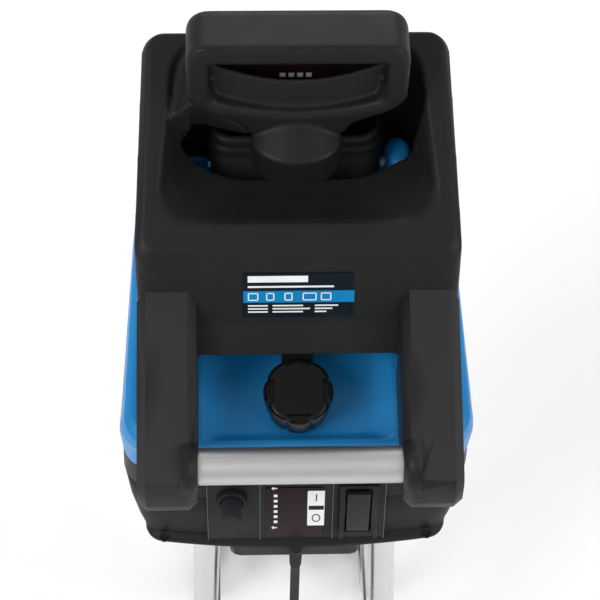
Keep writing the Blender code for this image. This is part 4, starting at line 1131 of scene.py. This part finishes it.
def wheel_skin(side, word):
    """A moulded wheel: ribbed tread, dished sides with eight webs, and a plain hub."""
    half = WHEEL_HALF
    centre = (side * WHEEL_X, AXLE_Y, AXLE_Z)
    rows = [(17.0, -half - 2), (17.0, -4.0), (55.0, -4.0), (57.5, -half + 2), (61.0, -half + 0.4)]
    rows += [(70.0, -half), (73.4, -half + 2.2), (75.0, -half + 6)]
    for k in range(3):
        x = -half + 7.5 + 5.4 * k
        rows += [(75.0, x), (73.2, x + 0.8), (73.2, x + 2.4), (75.0, x + 3.2)]
    rows += [(75.0, half - 6), (73.4, half - 2.2), (70.0, half), (61.0, half - 0.4), (57.5, half - 2)]
    rows += [(55.0, 4.0), (17.0, 4.0), (17.0, half), (5.4, half), (5.4, -half - 2)]
    wheel = turned(f"wheel_skin_{word}", [(r, side * h) for r, h in rows], "black", centre, "X", 96)
    webs = []
    for k in range(8):
        web = bmesh.new()
        low = Vector((-half + 3.0, 15.0, -2.0))
        high = Vector((half - 3.0, 57.5, 2.0))
        corners = [(x, y, z) for x in (low.x, high.x) for y in (low.y, high.y) for z in (low.z, high.z)]
        points = [web.verts.new(corner) for corner in corners]
        for face in ((0, 1, 3, 2), (4, 6, 7, 5), (0, 4, 5, 1), (2, 3, 7, 6), (0, 2, 6, 4), (1, 5, 7, 3)):
            web.faces.new([points[i] for i in face])
        web.transform(Matrix.Rotation(math.tau * k / 8, 4, "X"))
        web.transform(Matrix.Translation(Vector(centre)))
        webs.append(new_object("web", web, "black"))
    combine(wheel, webs, "UNION")
    bevel(wheel, 0.8, 2, 40.0)
    stand_in(wheel, f"{word}_wheel", "hub_plastic", f"wheel_{word}")


def refine(node, finish, width=0.0, segments=2):
    """Gives a CAD node its finish, welded edges, a small edge radius and smooth shading."""
    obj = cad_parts[node]
    mesh = obj.data
    mesh.materials.clear()
    mesh.materials.append(MATTER[finish])
    for polygon in mesh.polygons:
        polygon.material_index = 0
    if mesh.attributes.get("custom_normal"):
        mesh.attributes.remove(mesh.attributes["custom_normal"])
    weld = obj.modifiers.new("weld", "WELD")
    weld.merge_threshold = 0.00002
    flat = obj.modifiers.new("flat", "DECIMATE")
    flat.decimate_type = "DISSOLVE"
    flat.angle_limit = math.radians(0.6)
    if width:
        bevel(obj, width, segments, 35.0)
    smooth = obj.modifiers.new("smooth", "NODES")
    smooth.node_group = smooth_by_angle()


def smooth_by_angle():
    """A node group that shades smooth, except across edges sharper than 35 degrees."""
    found = bpy.data.node_groups.get("smooth_by_angle")
    if found:
        return found
    group = bpy.data.node_groups.new("smooth_by_angle", "GeometryNodeTree")
    group.interface.new_socket("Geometry", in_out="INPUT", socket_type="NodeSocketGeometry")
    group.interface.new_socket("Geometry", in_out="OUTPUT", socket_type="NodeSocketGeometry")
    start = group.nodes.new("NodeGroupInput")
    end = group.nodes.new("NodeGroupOutput")
    faces = group.nodes.new("GeometryNodeSetShadeSmooth")
    edges = group.nodes.new("GeometryNodeSetShadeSmooth")
    edges.domain = "EDGE"
    angle = group.nodes.new("GeometryNodeInputMeshEdgeAngle")
    under = group.nodes.new("FunctionNodeCompare")
    under.data_type = "FLOAT"
    under.operation = "LESS_THAN"
    under.inputs[1].default_value = math.radians(35.0)
    links = group.links
    links.new(angle.outputs["Unsigned Angle"], under.inputs[0])
    links.new(start.outputs[0], faces.inputs["Geometry"])
    links.new(faces.outputs[0], edges.inputs["Geometry"])
    links.new(under.outputs[0], edges.inputs["Shade Smooth"])
    links.new(edges.outputs[0], end.inputs[0])
    return group


# Each CAD node that keeps its own mesh, with its finish and the radius of its edges.
FINISHES = {
    "black": (
        ("bottom_pan", 1.2), ("console_panel", 0.5), ("switch_frame", 0.5), ("reset_collar", 0.4),
        ("discharge_chute", 0.8), ("clamp_tab", 0.6), ("axle_spacer_left", 0.4),
        ("axle_spacer_right", 0.4), ("hub_cap_left", 0.5), ("hub_cap_right", 0.5),
    ),
    "switch": (
        ("rocker_switch", 0.6),
    ),
    "rubber": (
        ("front_foot_left", 0.0), ("front_foot_right", 0.0), ("reset_button", 0.5),
        ("drive_belt", 0.0),
    ),
    "tube": (
        ("rear_leg_left", 0.0), ("rear_leg_right", 0.0), ("front_leg_frame", 0.0),
    ),
    "grip": (
        ("grip_tube", 0.0),
    ),
    "steel": (
        ("wheel_axle", 0.4), ("side_brace_left", 0.4), ("side_brace_right", 0.4),
        ("hinge_pin_left", 0.3), ("hinge_pin_right", 0.3), ("plug_pin_left", 0.2),
        ("plug_pin_right", 0.2), ("disc_shaft", 0.3), ("cutting_disc", 0.5), ("disc_nut", 0.5),
        ("lower_bearing", 0.5), ("upper_bearing", 0.5), ("motor_pulley", 0.2),
        ("blade_screw_a_inner", 0.3), ("blade_screw_a_outer", 0.3), ("blade_screw_b_inner", 0.3),
        ("blade_screw_b_outer", 0.3), ("motor_armature", 0.4),
    ),
    "blade": (
        ("blade_a", 0.3), ("blade_b", 0.3),
    ),
    "cast": (
        ("motor_plate", 0.5), ("disc_pulley", 0.3),
    ),
    "copper": (
        ("motor_stator", 0.6),
    ),
    "navy": (
        ("rating_label", 0.1),
    ),
    "brown": (
        ("control_label", 0.1),
    ),
}


def main():
    make_camera()
    make_cord()
    make_gland()
    make_studio()
    for finish, nodes in FINISHES.items():
        for node, width in nodes:
            refine(node, finish, width)
    hopper_skin()
    head_skin()
    throat_skin()
    cover_skin()
    base_skins()
    knob_skin()
    console_prints()
    label_prints()
    mouth_strip()
    for side, word in sides():
        lip_screw(side, word)
        arm_skin(side, word)
        wheel_skin(side, word)


main()
